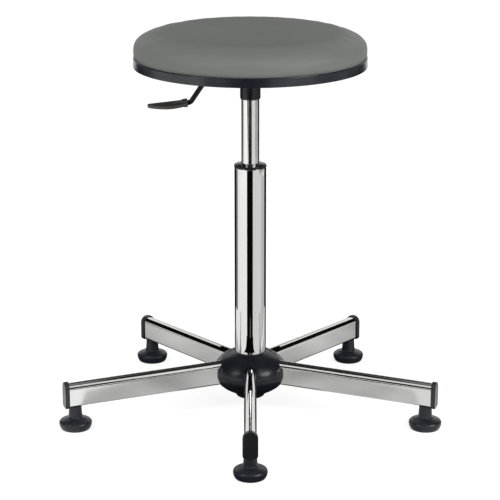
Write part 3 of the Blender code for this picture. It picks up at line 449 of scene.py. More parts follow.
# Bush: a black acetal guide pressed into the column's mouth; its flange caps the tube
# and its collar, a little domed, wipes the sliding cylinder.
def moulded(name, colour, grain=900.0, rough=0.42, depth=0.00012, gloss=0.32):
    """Moulded black plastic: fine spark grain, faint flow marks and lighter rubbed edges."""
    finish = Finish(name, {"IOR": 1.5, "Specular IOR Level": gloss})
    flow = finish.noise(26.0, 3.0, 0.55)
    cells = finish.node("TexVoronoi", None, {"Vector": finish.place(), "Scale": grain})
    pores = finish.noise(grain * 1.7, 2.0, 0.5)
    edge = finish.edge()
    body = finish.mix(flow, tint(colour, 0.82), tint(colour, 1.25, 0.002))
    finish.surface(
        finish.mix(edge * 0.6, body, tint(colour, 2.2, 0.012)),
        finish.spread(flow, rough - 0.05, rough + 0.06) - edge * 0.08,
        finish.bump(cells * 0.7 + pores * 0.3, depth, 0.35),
    )
    return finish


CLEARANCE = 0.0003
bush_outer, bush_bottom, bush_top = measured("column_bush")
bush_rim = bush_top - 0.0012
sleeve = inside - CLEARANCE
bore = 0.0143
bush = turned([
    (bore, bush_bottom, 0.0005), (sleeve, bush_bottom, 0.0008), (sleeve, COLUMN_TOP + CLEARANCE),
    (bush_outer, COLUMN_TOP + CLEARANCE, 0.0004), (bush_outer, bush_rim, 0.0010),
    (bore + 0.0028, bush_top - 0.0002, 0.0006), (bore + 0.0022, bush_top, 0.0003), (bore, bush_top, 0.0003),
], steps=144)
bush_plastic = moulded("bush_plastic", (0.007, 0.008, 0.010), 1400.0, 0.16, 0.00006, 0.2)
finished("guide_bush", moved(bush, TO_AXIS), bush_plastic, "base", ["column_bush"])


# Gas cylinder: a steel tube, ground and hard-chromed. It slides in the bush, and the cone at its
# top is held in the seat's socket.
CYLINDER_RADIUS, cylinder_bottom, cylinder_top = measured("gas_cylinder")
SOCKET_RADIUS, socket_bottom, socket_top = measured("socket_tube")
cone = 0.0007
wall = 0.002
cylinder = turned([
    (0.0053, cylinder_bottom, 0.0003), (CYLINDER_RADIUS, cylinder_bottom, 0.0012),
    (CYLINDER_RADIUS, socket_bottom), (CYLINDER_RADIUS - cone, cylinder_top, 0.001),
    (0.0038, cylinder_top, 0.0004), (0.0038, cylinder_top - 0.03),
    (CYLINDER_RADIUS - wall, cylinder_top - 0.03), (CYLINDER_RADIUS - wall, cylinder_bottom + 0.014),
    (0.0053, cylinder_bottom + 0.014),
], steps=112)
cylinder_chrome = chrome("cylinder_chrome", 0.68, (1500.0, 1500.0, 6.0), 0.1)
finished("gas_spring_cylinder", moved(cylinder, TO_AXIS), cylinder_chrome, "seat", ["gas_cylinder"])


# Arms: oval chromed tube with a half-round top and flat sides, welded to the hub inside the
# shroud. They slope down a little towards the feet.
ARM_COUNT = 5
ARM_NUMBERS = range(1, ARM_COUNT + 1)
ARM_SLOPE = math.radians(2.33)
ARM_WIDTH = 0.019
ARM_HEIGHT = 0.0375
ARM_WALL = 0.0015
GLIDE_CIRCLE = 0.290
TO_GLIDE = Matrix.Translation((GLIDE_CIRCLE, 0.0, 0.0))
NECK_RADIUS = 0.0098
glide_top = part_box("glide_foot_1")[1].z
BOTTOM_AT_GLIDE = glide_top + CLEARANCE + math.tan(ARM_SLOPE) * NECK_RADIUS
ARM_START = 0.0323
ARM_END = 0.30409
SECTION_SEGMENTS = 12


def arm_bottom(reach):
    return BOTTOM_AT_GLIDE + math.tan(ARM_SLOPE) * (GLIDE_CIRCLE - reach)


def arm_turn(number):
    """Places a piece made along +X about the axis on one of the arms."""
    angle = -math.pi / 2.0 + (number - 1) * 2.0 * math.pi / ARM_COUNT
    return TO_AXIS @ Matrix.Rotation(angle, 4, "Z")


def arm_outline(offset):
    """An arm's section grown by an offset: flat foot with small corners, half-round top."""
    half = ARM_WIDTH / 2.0 + offset
    foot = max(0.0025 + offset, 0.0003)
    crest = half - 0.00002
    return [
        (-half, -offset, foot), (half, -offset, foot),
        (half, ARM_HEIGHT + offset, crest), (-half, ARM_HEIGHT + offset, crest),
    ]


def arm_loop(mesh, offset, reach, segments=SECTION_SEGMENTS):
    """Edges of an arm's section, standing across the arm at a reach from the axis."""
    outline = arm_outline(offset)
    start = arm_bottom(reach)
    before = set(mesh.verts)
    corners = closed_loop(mesh, [(reach, across, start + above) for across, above, _ in outline])
    round_corners(mesh, corners, outline, segments)
    points = set(mesh.verts) - before
    return [edge for edge in mesh.edges if edge.verts[0] in points]


def filled(mesh, loop):
    """Close a loop of edges with a face."""
    return bmesh.ops.contextual_create(mesh, geom=loop)["faces"]


def push(mesh, drawn, vector):
    """Move the points of what an operator has just drawn out."""
    points = [item for item in drawn if isinstance(item, bmesh.types.BMVert)]
    bmesh.ops.translate(mesh, verts=points, vec=vector)
    return points


def draw_out(mesh, edges, vector):
    """Draw a loop of edges out to a wall, and give the loop at its far end."""
    ends = set(push(mesh, bmesh.ops.extrude_edge_only(mesh, edges=edges)["geom"], vector))
    return [edge for edge in mesh.edges if ends.issuperset(edge.verts)]


def along_arm(mesh, edges, start, end):
    """Draw a section out along the arm, down its slope."""
    return draw_out(mesh, edges, (end - start, 0.0, arm_bottom(end) - arm_bottom(start)))


def applied(piece):
    """A new mesh of a piece as its modifiers leave it."""
    bpy.context.view_layer.update()
    return bpy.data.meshes.new_from_object(piece.evaluated_get(bpy.context.evaluated_depsgraph_get()))


def cut_away(piece, *cutters, operation="DIFFERENCE"):
    """Cut meshes out of a piece for good, or join them to it."""
    for mesh in cutters:
        data = mesh_data("cutter", mesh)
        cutter = bpy.data.objects.new("cutter", data)
        scene.collection.objects.link(cutter)
        piece.modifiers.clear()
        modifier = piece.modifiers.new("cut", "BOOLEAN")
        modifier.solver = "EXACT"
        modifier.operation = operation
        modifier.object = cutter
        result = applied(piece)
        piece.modifiers.clear()
        piece.data.clear_geometry()
        kept = bmesh.new()
        kept.from_mesh(result)
        kept.to_mesh(piece.data)
        kept.free()
        shade(piece)
        bpy.data.objects.remove(cutter)
        bpy.data.meshes.remove(data)
        bpy.data.meshes.remove(result)


def post(radius, base, top, steps=48):
    """A plain round rod, standing at the origin."""
    mesh = bmesh.new()
    bmesh.ops.create_cone(
        mesh, cap_ends=True, cap_tris=False, segments=steps, radius1=radius, radius2=radius, depth=top - base,
    )
    return moved(mesh, Matrix.Translation((0.0, 0.0, (base + top) / 2.0)))


arm_chrome = chrome("arm_chrome", 0.82, (6.0, 6.0, 1400.0), 0.02)
for number in ARM_NUMBERS:
    tube = bmesh.new()
    along_arm(tube, arm_loop(tube, 0.0, ARM_START), ARM_START, ARM_END)
    outward(tube)
    bmesh.ops.solidify(tube, geom=tube.faces[:], thickness=ARM_WALL)
    outward(tube)
    moved(tube, arm_turn(number))
    arm = finished(f"chrome_arm_{number}", tube, arm_chrome, "base", [f"arm_{number}"])
    cut_away(arm, moved(post(0.0066, 0.02, 0.06), TO_GLIDE, arm_turn(number)))


# Hub shroud: two black polypropylene shells that clip together at a parting line round the hub,
# slotted for the arms.
SHROUD_RADIUS, _, shroud_top = measured("shroud_upper")
SHROUD_WALL = 0.0025
SHELL_STEPS = 18
SLOT_START = 0.0317
SLOT_GAP = 0.0005
shroud_middle = (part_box("shroud_lower")[0].z + shroud_top) / 2.0
shroud_plastic = moulded("shroud_plastic", (0.008, 0.009, 0.013), 1100.0, 0.26)
for name, direction, node in (
    ("hub_shell_upper", 1.0, "shroud_upper"),
    ("hub_shell_lower", -1.0, "shroud_lower"),
):
    edge_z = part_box(node)[1 if direction > 0 else 0].z
    limit = column_radius(edge_z) + 0.0006
    outer_height = abs(edge_z - shroud_middle) / math.sin(math.acos(limit / SHROUD_RADIUS))
    inner_radius = SHROUD_RADIUS - SHROUD_WALL
    inner_height = outer_height - SHROUD_WALL
    rows = []
    for radius, height in ((SHROUD_RADIUS, outer_height), (inner_radius, inner_height)):
        start = math.acos(limit / radius)
        row = []
        for step in range(1, SHELL_STEPS + 1):
            angle = start * step / float(SHELL_STEPS)
            row.append((radius * math.cos(angle), shroud_middle + direction * height * math.sin(angle)))
        rows.append(row)
    parting = shroud_middle + direction * 0.00015
    outline = [(SHROUD_RADIUS, parting + direction * 0.0004), *rows[0], *rows[1][::-1]]
    outline += [(inner_radius, parting), (SHROUD_RADIUS - 0.0005, parting)]
    shell_mesh = moved(turned(outline, steps=160), TO_AXIS)
    shell = finished(name, shell_mesh, shroud_plastic, "base", [node])
    slots = []
    for number in ARM_NUMBERS:
        slot = bmesh.new()
        near = arm_loop(slot, SLOT_GAP, SLOT_START)
        far = along_arm(slot, near, SLOT_START, SHROUD_RADIUS + 0.007)
        filled(slot, near)
        filled(slot, far)
        outward(slot)
        slots.append(moved(slot, arm_turn(number)))
    cut_away(shell, *slots)


# Arm caps: moulded black nylon caps with a rounded outer face. Each is pushed over its arm's end,
# and the tube stands in a pocket in the cap.
CAP_START = 0.30049
CAP_OUTER = 0.30739
CAP_WALL = 0.0022
cap_plastic = moulded("cap_plastic", (0.009, 0.010, 0.012), 1200.0, 0.32)
for number in ARM_NUMBERS:
    cap = bmesh.new()
    rim = arm_loop(cap, CAP_WALL, CAP_START)
    outer_end = along_arm(cap, rim, CAP_START, CAP_OUTER)
    filled(cap, outer_end)
    mouth = filled(cap, rim)
    outward(cap)
    bmesh.ops.inset_region(cap, faces=mouth, thickness=CAP_WALL - CLEARANCE, use_even_offset=True)
    pushed = bmesh.ops.extrude_face_region(cap, geom=mouth)["geom"]
    bmesh.ops.delete(cap, geom=mouth, context="FACES_ONLY")
    depth = ARM_END + CLEARANCE - CAP_START
    push(cap, pushed, (depth, 0.0, -depth * math.tan(ARM_SLOPE)))
    rounded(cap, outer_end, 0.0022, 5, clamp=True)
    outward(cap)
    moved(cap, arm_turn(number))
    finished(f"end_cap_{number}", cap, cap_plastic, "base", [f"arm_cap_{number}"])


# Glides: black nylon mushroom feet, each moulded on a steel stem that turns in a nylon socket in
# the arm. The rim is rounded, and the top slopes up to the neck.
glide_plastic = moulded("glide_plastic", (0.014, 0.015, 0.021), 1000.0, 0.3)
stem_hole = 0.0048
for number in ARM_NUMBERS:
    foot = turned([
        (0.0, 0.0), (0.0225, 0.0, 0.001), (0.0250, 0.0048, 0.004), (0.0258, 0.0086, 0.001),
        (0.0258, 0.0113, 0.0012), (0.0242, 0.0139, 0.003), (0.0182, 0.0165, 0.02), (0.0111, 0.0186, 0.002),
        (NECK_RADIUS + 0.0002, glide_top - 0.0034, 0.001), (NECK_RADIUS + 0.0003, glide_top - 0.0030, 0.0003),
        (NECK_RADIUS + 0.0003, glide_top - 0.0003, 0.0006), (stem_hole, glide_top),
        (stem_hole, 0.0117), (0.0, 0.0117),
    ], steps=72)
    moved(foot, TO_GLIDE, arm_turn(number))
    body = f"glide_{number}"
    finished(f"{body}_foot", foot, glide_plastic, body, [f"glide_foot_{number}"])


# Steel inside the column: the welded hub ring, the thrust bearing with its ball cage, the piston
# rod with its washer and clip under the column's floor, and the rubber stop round the rod.
def plated(name, tone, rough=0.34):
    """Zinc-plated or bare machined steel: turning marks, a cloudy tint and brighter rubbed edges."""
    finish = Finish(name, {"Metallic": 1.0})
    cloud = finish.noise(160.0, 4.0, 0.6)
    marks = finish.noise(1.0, 2.0, 0.5, finish.stretched((60.0, 60.0, 4200.0)))
    steel = finish.mix(cloud, tint((1.05, 1.01, 0.93), tone), tint((0.93, 0.98, 1.05), tone))
    finish.surface(
        finish.mix(finish.edge() * 0.5, steel, tint((1.3, 1.3, 1.28), tone)),
        finish.spread(cloud, rough - 0.06, rough + 0.08),
        finish.bump(marks, 0.00002, 0.4),
    )
    return finish


def dress(finish, *names):
    """Give CAD nodes, which keep their own shape, their finish."""
    for name in names:
        nodes[name].data.materials.clear()
        nodes[name].data.materials.append(finish.material)


zinc = plated("zinc_plate", 0.56)
ground_steel = plated("ground_bearing_steel", 0.62, 0.16)
dress(zinc, "hub_tube", *[f"glide_stem_{number}" for number in ARM_NUMBERS])
dress(ground_steel, "lower_race", "upper_race", "ball_cage")
dress(cylinder_chrome, "piston_rod")

nylon = Finish("natural_nylon", {"IOR": 1.53})
nylon_tone = nylon.noise(120.0, 3.0, 0.5)
nylon.surface(
    nylon.mix(nylon_tone, (0.66, 0.63, 0.55, 1.0), (0.76, 0.74, 0.68, 1.0)),
    nylon.spread(nylon_tone, 0.38, 0.5) - nylon.edge() * 0.1,
    nylon.bump(nylon.noise(900.0), 0.00005, 0.3),
)
dress(nylon, "piston", *[f"glide_socket_{number}" for number in ARM_NUMBERS])

rubber = Finish("stop_rubber", {"IOR": 1.5})
rubber_tone = rubber.noise(240.0, 4.0, 0.6)
rubber.surface(
    rubber.mix(rubber_tone, (0.014, 0.014, 0.014, 1.0), (0.030, 0.029, 0.028, 1.0)),
    rubber.spread(rubber_tone, 0.72, 0.88) - rubber.edge() * 0.08,
    rubber.bump(rubber.noise(1500.0), 0.00006, 0.5),
)
dress(rubber, "bump_stop")

_, base, top = measured("spindle_washer")
washer = turned([
    (ROD_HOLE, base, 0.0002), (0.0095, base, 0.0004), (0.0095, top, 0.0002), (ROD_HOLE, top, 0.0002),
], steps=48, segments=3)
finished("rod_washer", moved(washer, TO_AXIS), zinc, "spindle", ["spindle_washer"])


def soften(mesh, width, angle=0.9, segments=2, clamp=True):
    """Take the sharpness off the edges that turn by more than an angle."""
    sharp = [edge for edge in mesh.edges if len(edge.link_faces) == 2 and edge.calc_face_angle() > angle]
    rounded(mesh, sharp, width, segments, clamp=clamp)
    return mesh


def snap_ring(inner, outer, base, top, opening):
    """A snap ring: a flat ring, lying at the origin, with a gap at its back and rounded edges."""
    mesh = bmesh.new()
    corners = [mesh.verts.new((radius, 0.0, height)) for radius, height in (
        (inner, base), (outer, base), (outer, top), (inner, top))]
    mesh.faces.new(corners)
    moved(mesh, Matrix.Rotation(opening / 2.0, 4, "Z"))
    bmesh.ops.spin(
        mesh, geom=mesh.faces[:] + mesh.edges[:] + mesh.verts[:], cent=(0.0, 0.0, 0.0), axis=(0.0, 0.0, 1.0),
        angle=2.0 * math.pi - opening, steps=40, use_merge=False, use_duplicate=False,
    )
    return soften(sealed(mesh), 0.00018, 1.0, clamp=False)


_, base, top = measured("spindle_clip")
clip = moved(snap_ring(ROD_HOLE, 0.0068, base, top, 0.9), Matrix.Rotation(0.8, 4, "Z"), TO_AXIS)
finished("rod_clip", clip, zinc, "spindle", ["spindle_clip"])


# Seat socket and lever bracket: a machined tube whose cone grips the gas cylinder, welded into a
# folded steel channel, and the channel to the square plate; all in black powder coat.
def coated(name, colour, rough=0.36):
    """Black powder coat: orange-peel surface, slightly uneven gloss and thinner, greyer edges."""
    finish = Finish(name, {"IOR": 1.5, "Specular IOR Level": 0.32})
    cloud = finish.noise(40.0, 3.0, 0.5)
    peel = finish.noise(420.0, 2.0, 0.45)
    pits = finish.noise(2400.0, 1.0, 0.5)
    edge = finish.edge()
    coat = finish.mix(cloud, tint(colour, 0.85), tint(colour, 1.2))
    finish.surface(
        finish.mix(edge * 0.5, coat, grey(0.07)),
        finish.spread(cloud, rough - 0.06, rough + 0.08),
        finish.bump(peel * 0.8 + pits * 0.2, 0.0001, 0.35),
    )
    return finish


enamel = coated("black_powder_coat", (0.004, 0.0045, 0.006), 0.22)
collar_bore = CYLINDER_RADIUS + CLEARANCE
collar = turned([
    (collar_bore, socket_bottom), (SOCKET_RADIUS - 0.0009, socket_bottom, 0.0008),
    (SOCKET_RADIUS, socket_bottom + 0.0022, 0.0012), (SOCKET_RADIUS, socket_top, 0.0006),
    (collar_bore - cone, socket_top, 0.0004),
], steps=112)
finished("seat_socket", moved(collar, TO_AXIS), enamel, "seat", ["socket_tube"])

low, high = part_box("lever_bracket")
floor_top = low.z + 0.0025
channel_outline = [
    (-0.020, high.z), (-0.020, low.z, 0.0035), (0.020, low.z, 0.0035), (0.020, high.z),
    (0.0175, high.z), (0.0175, floor_top, 0.001), (-0.0175, floor_top, 0.001), (-0.0175, high.z),
]


def drawn_out(outline, vector, place, segments=5):
    """A solid bar of one section: the outline of (across, height, rounding) stands at place."""
    mesh = bmesh.new()
    corners = closed_loop(mesh, [place + Vector((0.0, point[0], point[1])) for point in outline])
    round_corners(mesh, corners, outline, segments)
    filled(mesh, mesh.edges[:])
    push(mesh, bmesh.ops.extrude_face_region(mesh, geom=mesh.faces[:])["geom"], vector)
    outward(mesh)
    return mesh


channel = drawn_out(channel_outline, (high.x - low.x, 0.0, 0.0), AXIS + Vector((low.x, 0.0, 0.0)))
soften(channel, 0.0003)
channel_piece = finished("lever_channel", channel, enamel, "seat", ["lever_bracket"])
PIVOT_REACH = 0.030
PIN_HOLE = 0.0033
_, eye_bottom, eye_top = measured("lever_eye")
pivot_place = AXIS + Vector((-PIVOT_REACH, 0.0, (eye_bottom + eye_top) / 2.0))
PIVOT = Matrix.Translation(pivot_place) @ Matrix.Rotation(math.pi / 2.0, 4, "X")
cut_away(
    channel_piece, moved(post(SOCKET_RADIUS + CLEARANCE, 0.53, 0.54, 96), TO_AXIS),
    moved(post(PIN_HOLE, -0.04, 0.04, 32), PIVOT),
)


def weld_bead(points, size, name):
    """A weld bead along a row of points: overlapping ripples, as the torch leaves them."""
    mesh = bmesh.new()
    bmesh.ops.create_circle(mesh, cap_ends=False, segments=8, radius=size)
    closed = (points[0] - points[-1]).length < 1e-6
    ring = mesh.edges[:]
    way = (points[1] - points[0]).normalized()
    moved(mesh, way.to_track_quat("Z", "Y").to_matrix().to_4x4(), Matrix.Translation(points[0]))
    first = ring
    for index in range(1, len(points)):
        step = points[index] - points[index - 1]
        new_way = step.normalized()
        ring = draw_out(mesh, ring, step)
        tips = list({vert for edge in ring for vert in edge.verts})
        bend = way.rotation_difference(new_way).to_matrix()
        bmesh.ops.rotate(mesh, verts=tips, cent=points[index], matrix=bend)
        swell = size * (1.0 + 0.14 * math.cos(index * math.pi * 0.66))
        for tip in tips:
            tip.co = points[index] + (tip.co - points[index]).normalized() * swell
        way = new_way
    if closed:
        sealed(mesh, size * 0.2)
    else:
        filled(mesh, first)
        filled(mesh, ring)
    finished(name, outward(mesh), enamel, "seat")


def circle_points(radius, height, count):
    return [
        AXIS + Vector((radius * math.cos(a), radius * math.sin(a), height))
        for a in (2.0 * math.pi * step / count for step in range(count + 1))
    ]


weld_bead(circle_points(SOCKET_RADIUS + CLEARANCE, low.z - 0.0001, 108), 0.0013, "socket_weld")
for side, across in (("near", -0.0204), ("far", 0.0204)):
    run = [AXIS + Vector((x * 0.001, across, high.z - 0.0002)) for x in range(-40, 17)]
    weld_bead(run, 0.0011, f"bracket_weld_{side}")

plate_half, plate_bottom, plate_top = measured("mount_plate")
plate = bmesh.new()
bmesh.ops.create_grid(plate, x_segments=1, y_segments=1, size=plate_half)
rounded(plate, plate.verts[:], 0.012, 8, "VERTICES")
moved(plate, TO_AXIS, Matrix.Translation((0.0, 0.0, plate_bottom)))
thick = bmesh.ops.extrude_face_region(plate, geom=plate.faces[:])["geom"]
push(plate, thick, (0.0, 0.0, plate_top - plate_bottom))
outward(plate)
plate_piece = finished("seat_plate", soften(plate, 0.0005), enamel, "seat", ["mount_plate"])
BOLT_REACH = 0.065
BOLT_HOLE = 0.0033
bolt_places = [
    AXIS + Vector((x, y, 0.0)) for x in (-BOLT_REACH, BOLT_REACH) for y in (-BOLT_REACH, BOLT_REACH)
]


def bolt_holes(bottom, top):
    return [moved(post(BOLT_HOLE, bottom, top, 32), Matrix.Translation(place)) for place in bolt_places]


cut_away(plate_piece, *bolt_holes(0.55, 0.57))


# Seat pan: a black moulded dish under the board; its turned-up wall is the band round the seat.
SEAT_RADIUS, PAN_BOTTOM, PAN_TOP = measured("seat_pan")
BOARD_RADIUS, board_bottom, BOARD_TOP = measured("seat_board")
_, hem_bottom, COVER_TOP = measured("seat_cover")
rim_plastic = moulded("rim_plastic", (0.007, 0.008, 0.014), 800.0, 0.2, 0.00006, 0.5)
pan_inside = SEAT_RADIUS - 0.003
pad_radius = 0.1534
pan = turned([
    (0.0, PAN_BOTTOM), (0.130, PAN_BOTTOM, 0.001), (0.131, PAN_BOTTOM + 0.0008, 0.001),
    (0.146, PAN_BOTTOM + 0.0008, 0.001), (0.147, PAN_BOTTOM, 0.001), (SEAT_RADIUS, PAN_BOTTOM, 0.0010),
    (SEAT_RADIUS, PAN_TOP, 0.0013), (pan_inside, PAN_TOP, 0.0008),
    (pan_inside, hem_bottom - CLEARANCE, 0.0005), (pad_radius, hem_bottom - CLEARANCE),
    (pad_radius, board_bottom - CLEARANCE), (0.0, board_bottom - CLEARANCE),
], steps=160)
pan_piece = finished("seat_dish", moved(pan, TO_AXIS), rim_plastic, "seat", ["seat_pan"])
cut_away(pan_piece, *bolt_holes(0.55, 0.58))


# Bolts: zinc-plated hexagon flange bolts, driven up through the plate and the pan into tee nuts
# that are pressed into the board from above.
FLANGE_RADIUS, head_base, bolt_top = measured("plate_bolt_1")
head_top = plate_bottom - CLEARANCE
for number, place in enumerate(bolt_places, start=1):
    bolt = bmesh.new()
    bmesh.ops.create_cone(
        bolt, cap_ends=True, cap_tris=False, segments=6, radius1=0.0050, radius2=0.0056, depth=0.0026,
    )
    moved(bolt, Matrix.Translation((0.0, 0.0, head_base + 0.0013)), Matrix.Rotation(0.4 * number, 4, "Z"))
    soften(bolt, 0.0004, 0.5)
    bolt_piece = finished(
        f"seat_bolt_{number}", moved(bolt, Matrix.Translation(place)), zinc, "seat",
        [f"plate_bolt_{number}"],
    )
    flange = turned([
        (0.0, head_base + 0.0018), (0.0055, head_base + 0.0018), (FLANGE_RADIUS, head_top - 0.0011, 0.0003),
        (FLANGE_RADIUS, head_top, 0.0003), (0.003, head_top), (0.003, bolt_top, 0.0006), (0.0, bolt_top),
    ], steps=48, segments=3)
    cut_away(bolt_piece, moved(flange, Matrix.Translation(place)), operation="UNION")
dress(zinc, *[f"tee_nut_{number}" for number in range(1, 5)])


# Board and foam: birch plywood, and a moulded polyurethane pad glued on it. The foam's pressure
# fills out the cover, so both take their shape from one pillow that is blown up inside its skin.
plywood = Finish("birch_plywood", {"IOR": 1.5})
grain = plywood.noise(1.0, 5.0, 0.6, plywood.stretched((18.0, 320.0, 320.0)))
plies = plywood.node("TexWave", {"bands_direction": "Z"}, {
    "Vector": plywood.place(), "Scale": 110.0, "Distortion": 0.4, "Detail": 1.0}, 1)
ply_tone = plywood.mix(grain, (0.44, 0.28, 0.15, 1.0), (0.62, 0.45, 0.27, 1.0))
plywood.surface(
    plywood.mix(plies * 0.35, ply_tone, (0.33, 0.20, 0.10, 1.0)),
    plywood.spread(grain, 0.6, 0.78),
    plywood.bump(grain, 0.0002, 0.5),
)
dress(plywood, "seat_board")

COVER_THICKNESS = 0.0012
CROWN_BASE = PAN_TOP + 0.0075
CROWN_RINGS = 30
CROWN_FLATNESS = 6.3
CROWN_SHOULDER = 3.5
skirt_radius = pan_inside - CLEARANCE
hem_radius = skirt_radius - 0.024


def crown(offset):
    """The cushion's outline, drawn in by an offset, from near the top's centre to its widest level."""
    radius = SEAT_RADIUS - offset
    height = COVER_TOP - CROWN_BASE - offset
    points = [(0.0, CROWN_BASE + height)]
    for step in range(1, CROWN_RINGS + 1):
        angle = math.pi / 2.0 * (step / CROWN_RINGS) ** 1.5
        across = radius * math.sin(angle) ** (2.0 / CROWN_FLATNESS)
        points.append((across, CROWN_BASE + height * max(math.cos(angle), 0.0) ** (2.0 / CROWN_SHOULDER)))
    return points


def tucked(offset, base):
    """The cushion's lower side, which turns in over the pan and goes down inside its wall."""
    edge = SEAT_RADIUS - offset
    return [
        (edge - 0.0003, CROWN_BASE - 0.0035), (edge - 0.0016, PAN_TOP + 0.0016),
        (skirt_radius - offset, PAN_TOP - 0.0004), (skirt_radius - offset, base),
    ]


START_SMALLER = 0.0012
POINT_CAP = 0.0018
PILLOW_VOXEL = 0.004
PRESSURE = 1.6
FRAMES = 20
pillow_outline = crown(START_SMALLER) + tucked(START_SMALLER, hem_bottom) + [(0.0, hem_bottom)]
pillow_mesh = moved(turned(pillow_outline, 96), TO_AXIS)
pillow = add_object("pillow", mesh_data("pillow", pillow_mesh), plywood)
remesh = pillow.modifiers.new("remesh", "REMESH")
remesh.mode = "VOXEL"
remesh.voxel_size = PILLOW_VOXEL
start_data = applied(pillow)
bpy.data.objects.remove(pillow)
blown = bpy.data.objects.new("blown", start_data)
scene.collection.objects.link(blown)
swollen = bmesh.new()
held = blown.vertex_groups.new(name="held")
held.add([v.index for v in start_data.vertices if v.co.z < PAN_TOP + 0.0015], 1.0, "REPLACE")
cloth = blown.modifiers.new("cloth", "CLOTH")
cloth.settings.quality = 6
cloth.settings.use_pressure = True
cloth.settings.uniform_pressure_force = PRESSURE
cloth.settings.effector_weights.gravity = 0.0
cloth.settings.vertex_group_mass = "held"
cloth.point_cache.frame_start = 1
cloth.point_cache.frame_end = FRAMES
for step in range(1, FRAMES + 1):
    scene.frame_set(step)
swollen.from_mesh(blown.evaluated_get(bpy.context.evaluated_depsgraph_get()).data)
for before, after in zip(start_data.vertices, swollen.verts):
    move = after.co - before.co
    if move.length > POINT_CAP:
        after.co = before.co + move.normalized() * POINT_CAP
scene.frame_set(1)
for _ in range(3):
    bmesh.ops.smooth_vert(
        swollen, verts=swollen.verts, factor=0.5, use_axis_x=True, use_axis_y=True, use_axis_z=True,
    )
skin = BVHTree.FromBMesh(swollen)
swollen_top = max(point.co.z for point in swollen.verts)
swollen_radius = max((point.co - AXIS).xy.length for point in swollen.verts)
swollen.free()
bpy.data.objects.remove(blown)


def laid_on_skin(points, inset):
    """Move the upper points on to the blown-up skin, drawn in by an inset, and back to size."""
    stretch = (COVER_TOP - PAN_TOP) / (swollen_top - PAN_TOP)
    widen = SEAT_RADIUS / swollen_radius
    for point in points:
        flat = point.co - AXIS
        share = min(max((flat.z - PAN_TOP - 0.001) / 0.004, 0.0), 1.0)
        if share > 0.0:
            heart = AXIS + Vector((flat.x * 0.86, flat.y * 0.86, PAN_TOP + 0.0008))
            way = (point.co - heart).normalized()
            hit = skin.ray_cast(heart, way, 0.3)[0]
            if hit is not None:
                inner = hit - way * inset - AXIS
                inner = Vector((inner.x * widen, inner.y * widen, PAN_TOP + (inner.z - PAN_TOP) * stretch))
                point.co = point.co.lerp(AXIS + inner, share)


foam_base = BOARD_TOP + CLEARANCE
foam_inset = COVER_THICKNESS + CLEARANCE
foam_mesh = moved(turned(crown(foam_inset) + [
    (SEAT_RADIUS - foam_inset - 0.0022, PAN_TOP + 0.0014),
    (BOARD_RADIUS, foam_base, 0.0004), (0.0, foam_base),
], steps=128), TO_AXIS)
laid_on_skin(foam_mesh.verts, foam_inset)
foam = Finish("moulded_foam", {"IOR": 1.4})
cells = foam.node("TexVoronoi", {"feature": "DISTANCE_TO_EDGE"}, {"Vector": foam.place(), "Scale": 900.0})
patch = foam.noise(30.0, 4.0, 0.6)
foam_colour = foam.mix(patch, (0.74, 0.68, 0.47, 1.0), (0.82, 0.77, 0.60, 1.0))
cell_wall = foam.between(cells, 0.0, 0.12, 0.0, 0.35)
foam.surface(
    foam.mix(cell_wall, foam_colour, (0.60, 0.53, 0.36, 1.0)),
    foam.spread(patch, 0.85, 0.97),
    foam.bump(cells, 0.0004, 0.6),
)
SOFT_ANGLE = math.radians(50.0)
foam_piece = finished("foam_pad", foam_mesh, foam, "seat", ["seat_foam"], SOFT_ANGLE)


# Cover: grey coated fabric, stretched over the foam, drawn round the board's edge and under it.
# It bulges a little over the pan's wall, where it is pinched between board and pan.
cover_mesh = turned(
    crown(0.0) + tucked(0.0, hem_bottom) + [
        (hem_radius, hem_bottom), (hem_radius, hem_bottom + COVER_THICKNESS),
        (skirt_radius - COVER_THICKNESS, hem_bottom + COVER_THICKNESS),
        (skirt_radius - COVER_THICKNESS, PAN_TOP - 0.0004),
        (SEAT_RADIUS - COVER_THICKNESS - 0.0016, PAN_TOP + 0.0018),
    ] + crown(COVER_THICKNESS)[::-1],
    steps=192,
)
outward(moved(cover_mesh, TO_AXIS))
inner_points = set()
for point in cover_mesh.verts:
    flat = point.co - AXIS
    if point.normal.dot(Vector((flat.x, flat.y, 0.35 * (COVER_TOP - PAN_TOP) / 0.035)).normalized()) < 0.0:
        inner_points.add(point)
laid_on_skin([point for point in cover_mesh.verts if point not in inner_points], 0.0)
laid_on_skin(inner_points, COVER_THICKNESS)
vinyl = Finish("seat_vinyl", {"IOR": 1.46, "Specular IOR Level": 0.2})
hide = vinyl.node("TexVoronoi", {"feature": "DISTANCE_TO_EDGE"}, {"Vector": vinyl.place(), "Scale": 620.0})
pebble = vinyl.between(hide, 0.0, 0.25)
fine = vinyl.noise(2600.0, 2.0, 0.5)
tone = vinyl.noise(7.0, 4.0, 0.55)
vinyl_colour = vinyl.mix(tone, (0.151, 0.160, 0.145, 1.0), (0.165, 0.175, 0.159, 1.0))
vinyl.surface(
    vinyl.mix(pebble * -0.16 + 0.16, vinyl_colour, (0.112, 0.121, 0.108, 1.0)),
    vinyl.spread(tone, 0.46, 0.56) + pebble * -0.05,
    vinyl.bump(pebble * 0.85 + fine * 0.15, 0.00016, 0.4),
)
cover_piece = finished("cushion_cover", cover_mesh, vinyl, "seat", ["seat_cover"], SOFT_ANGLE)


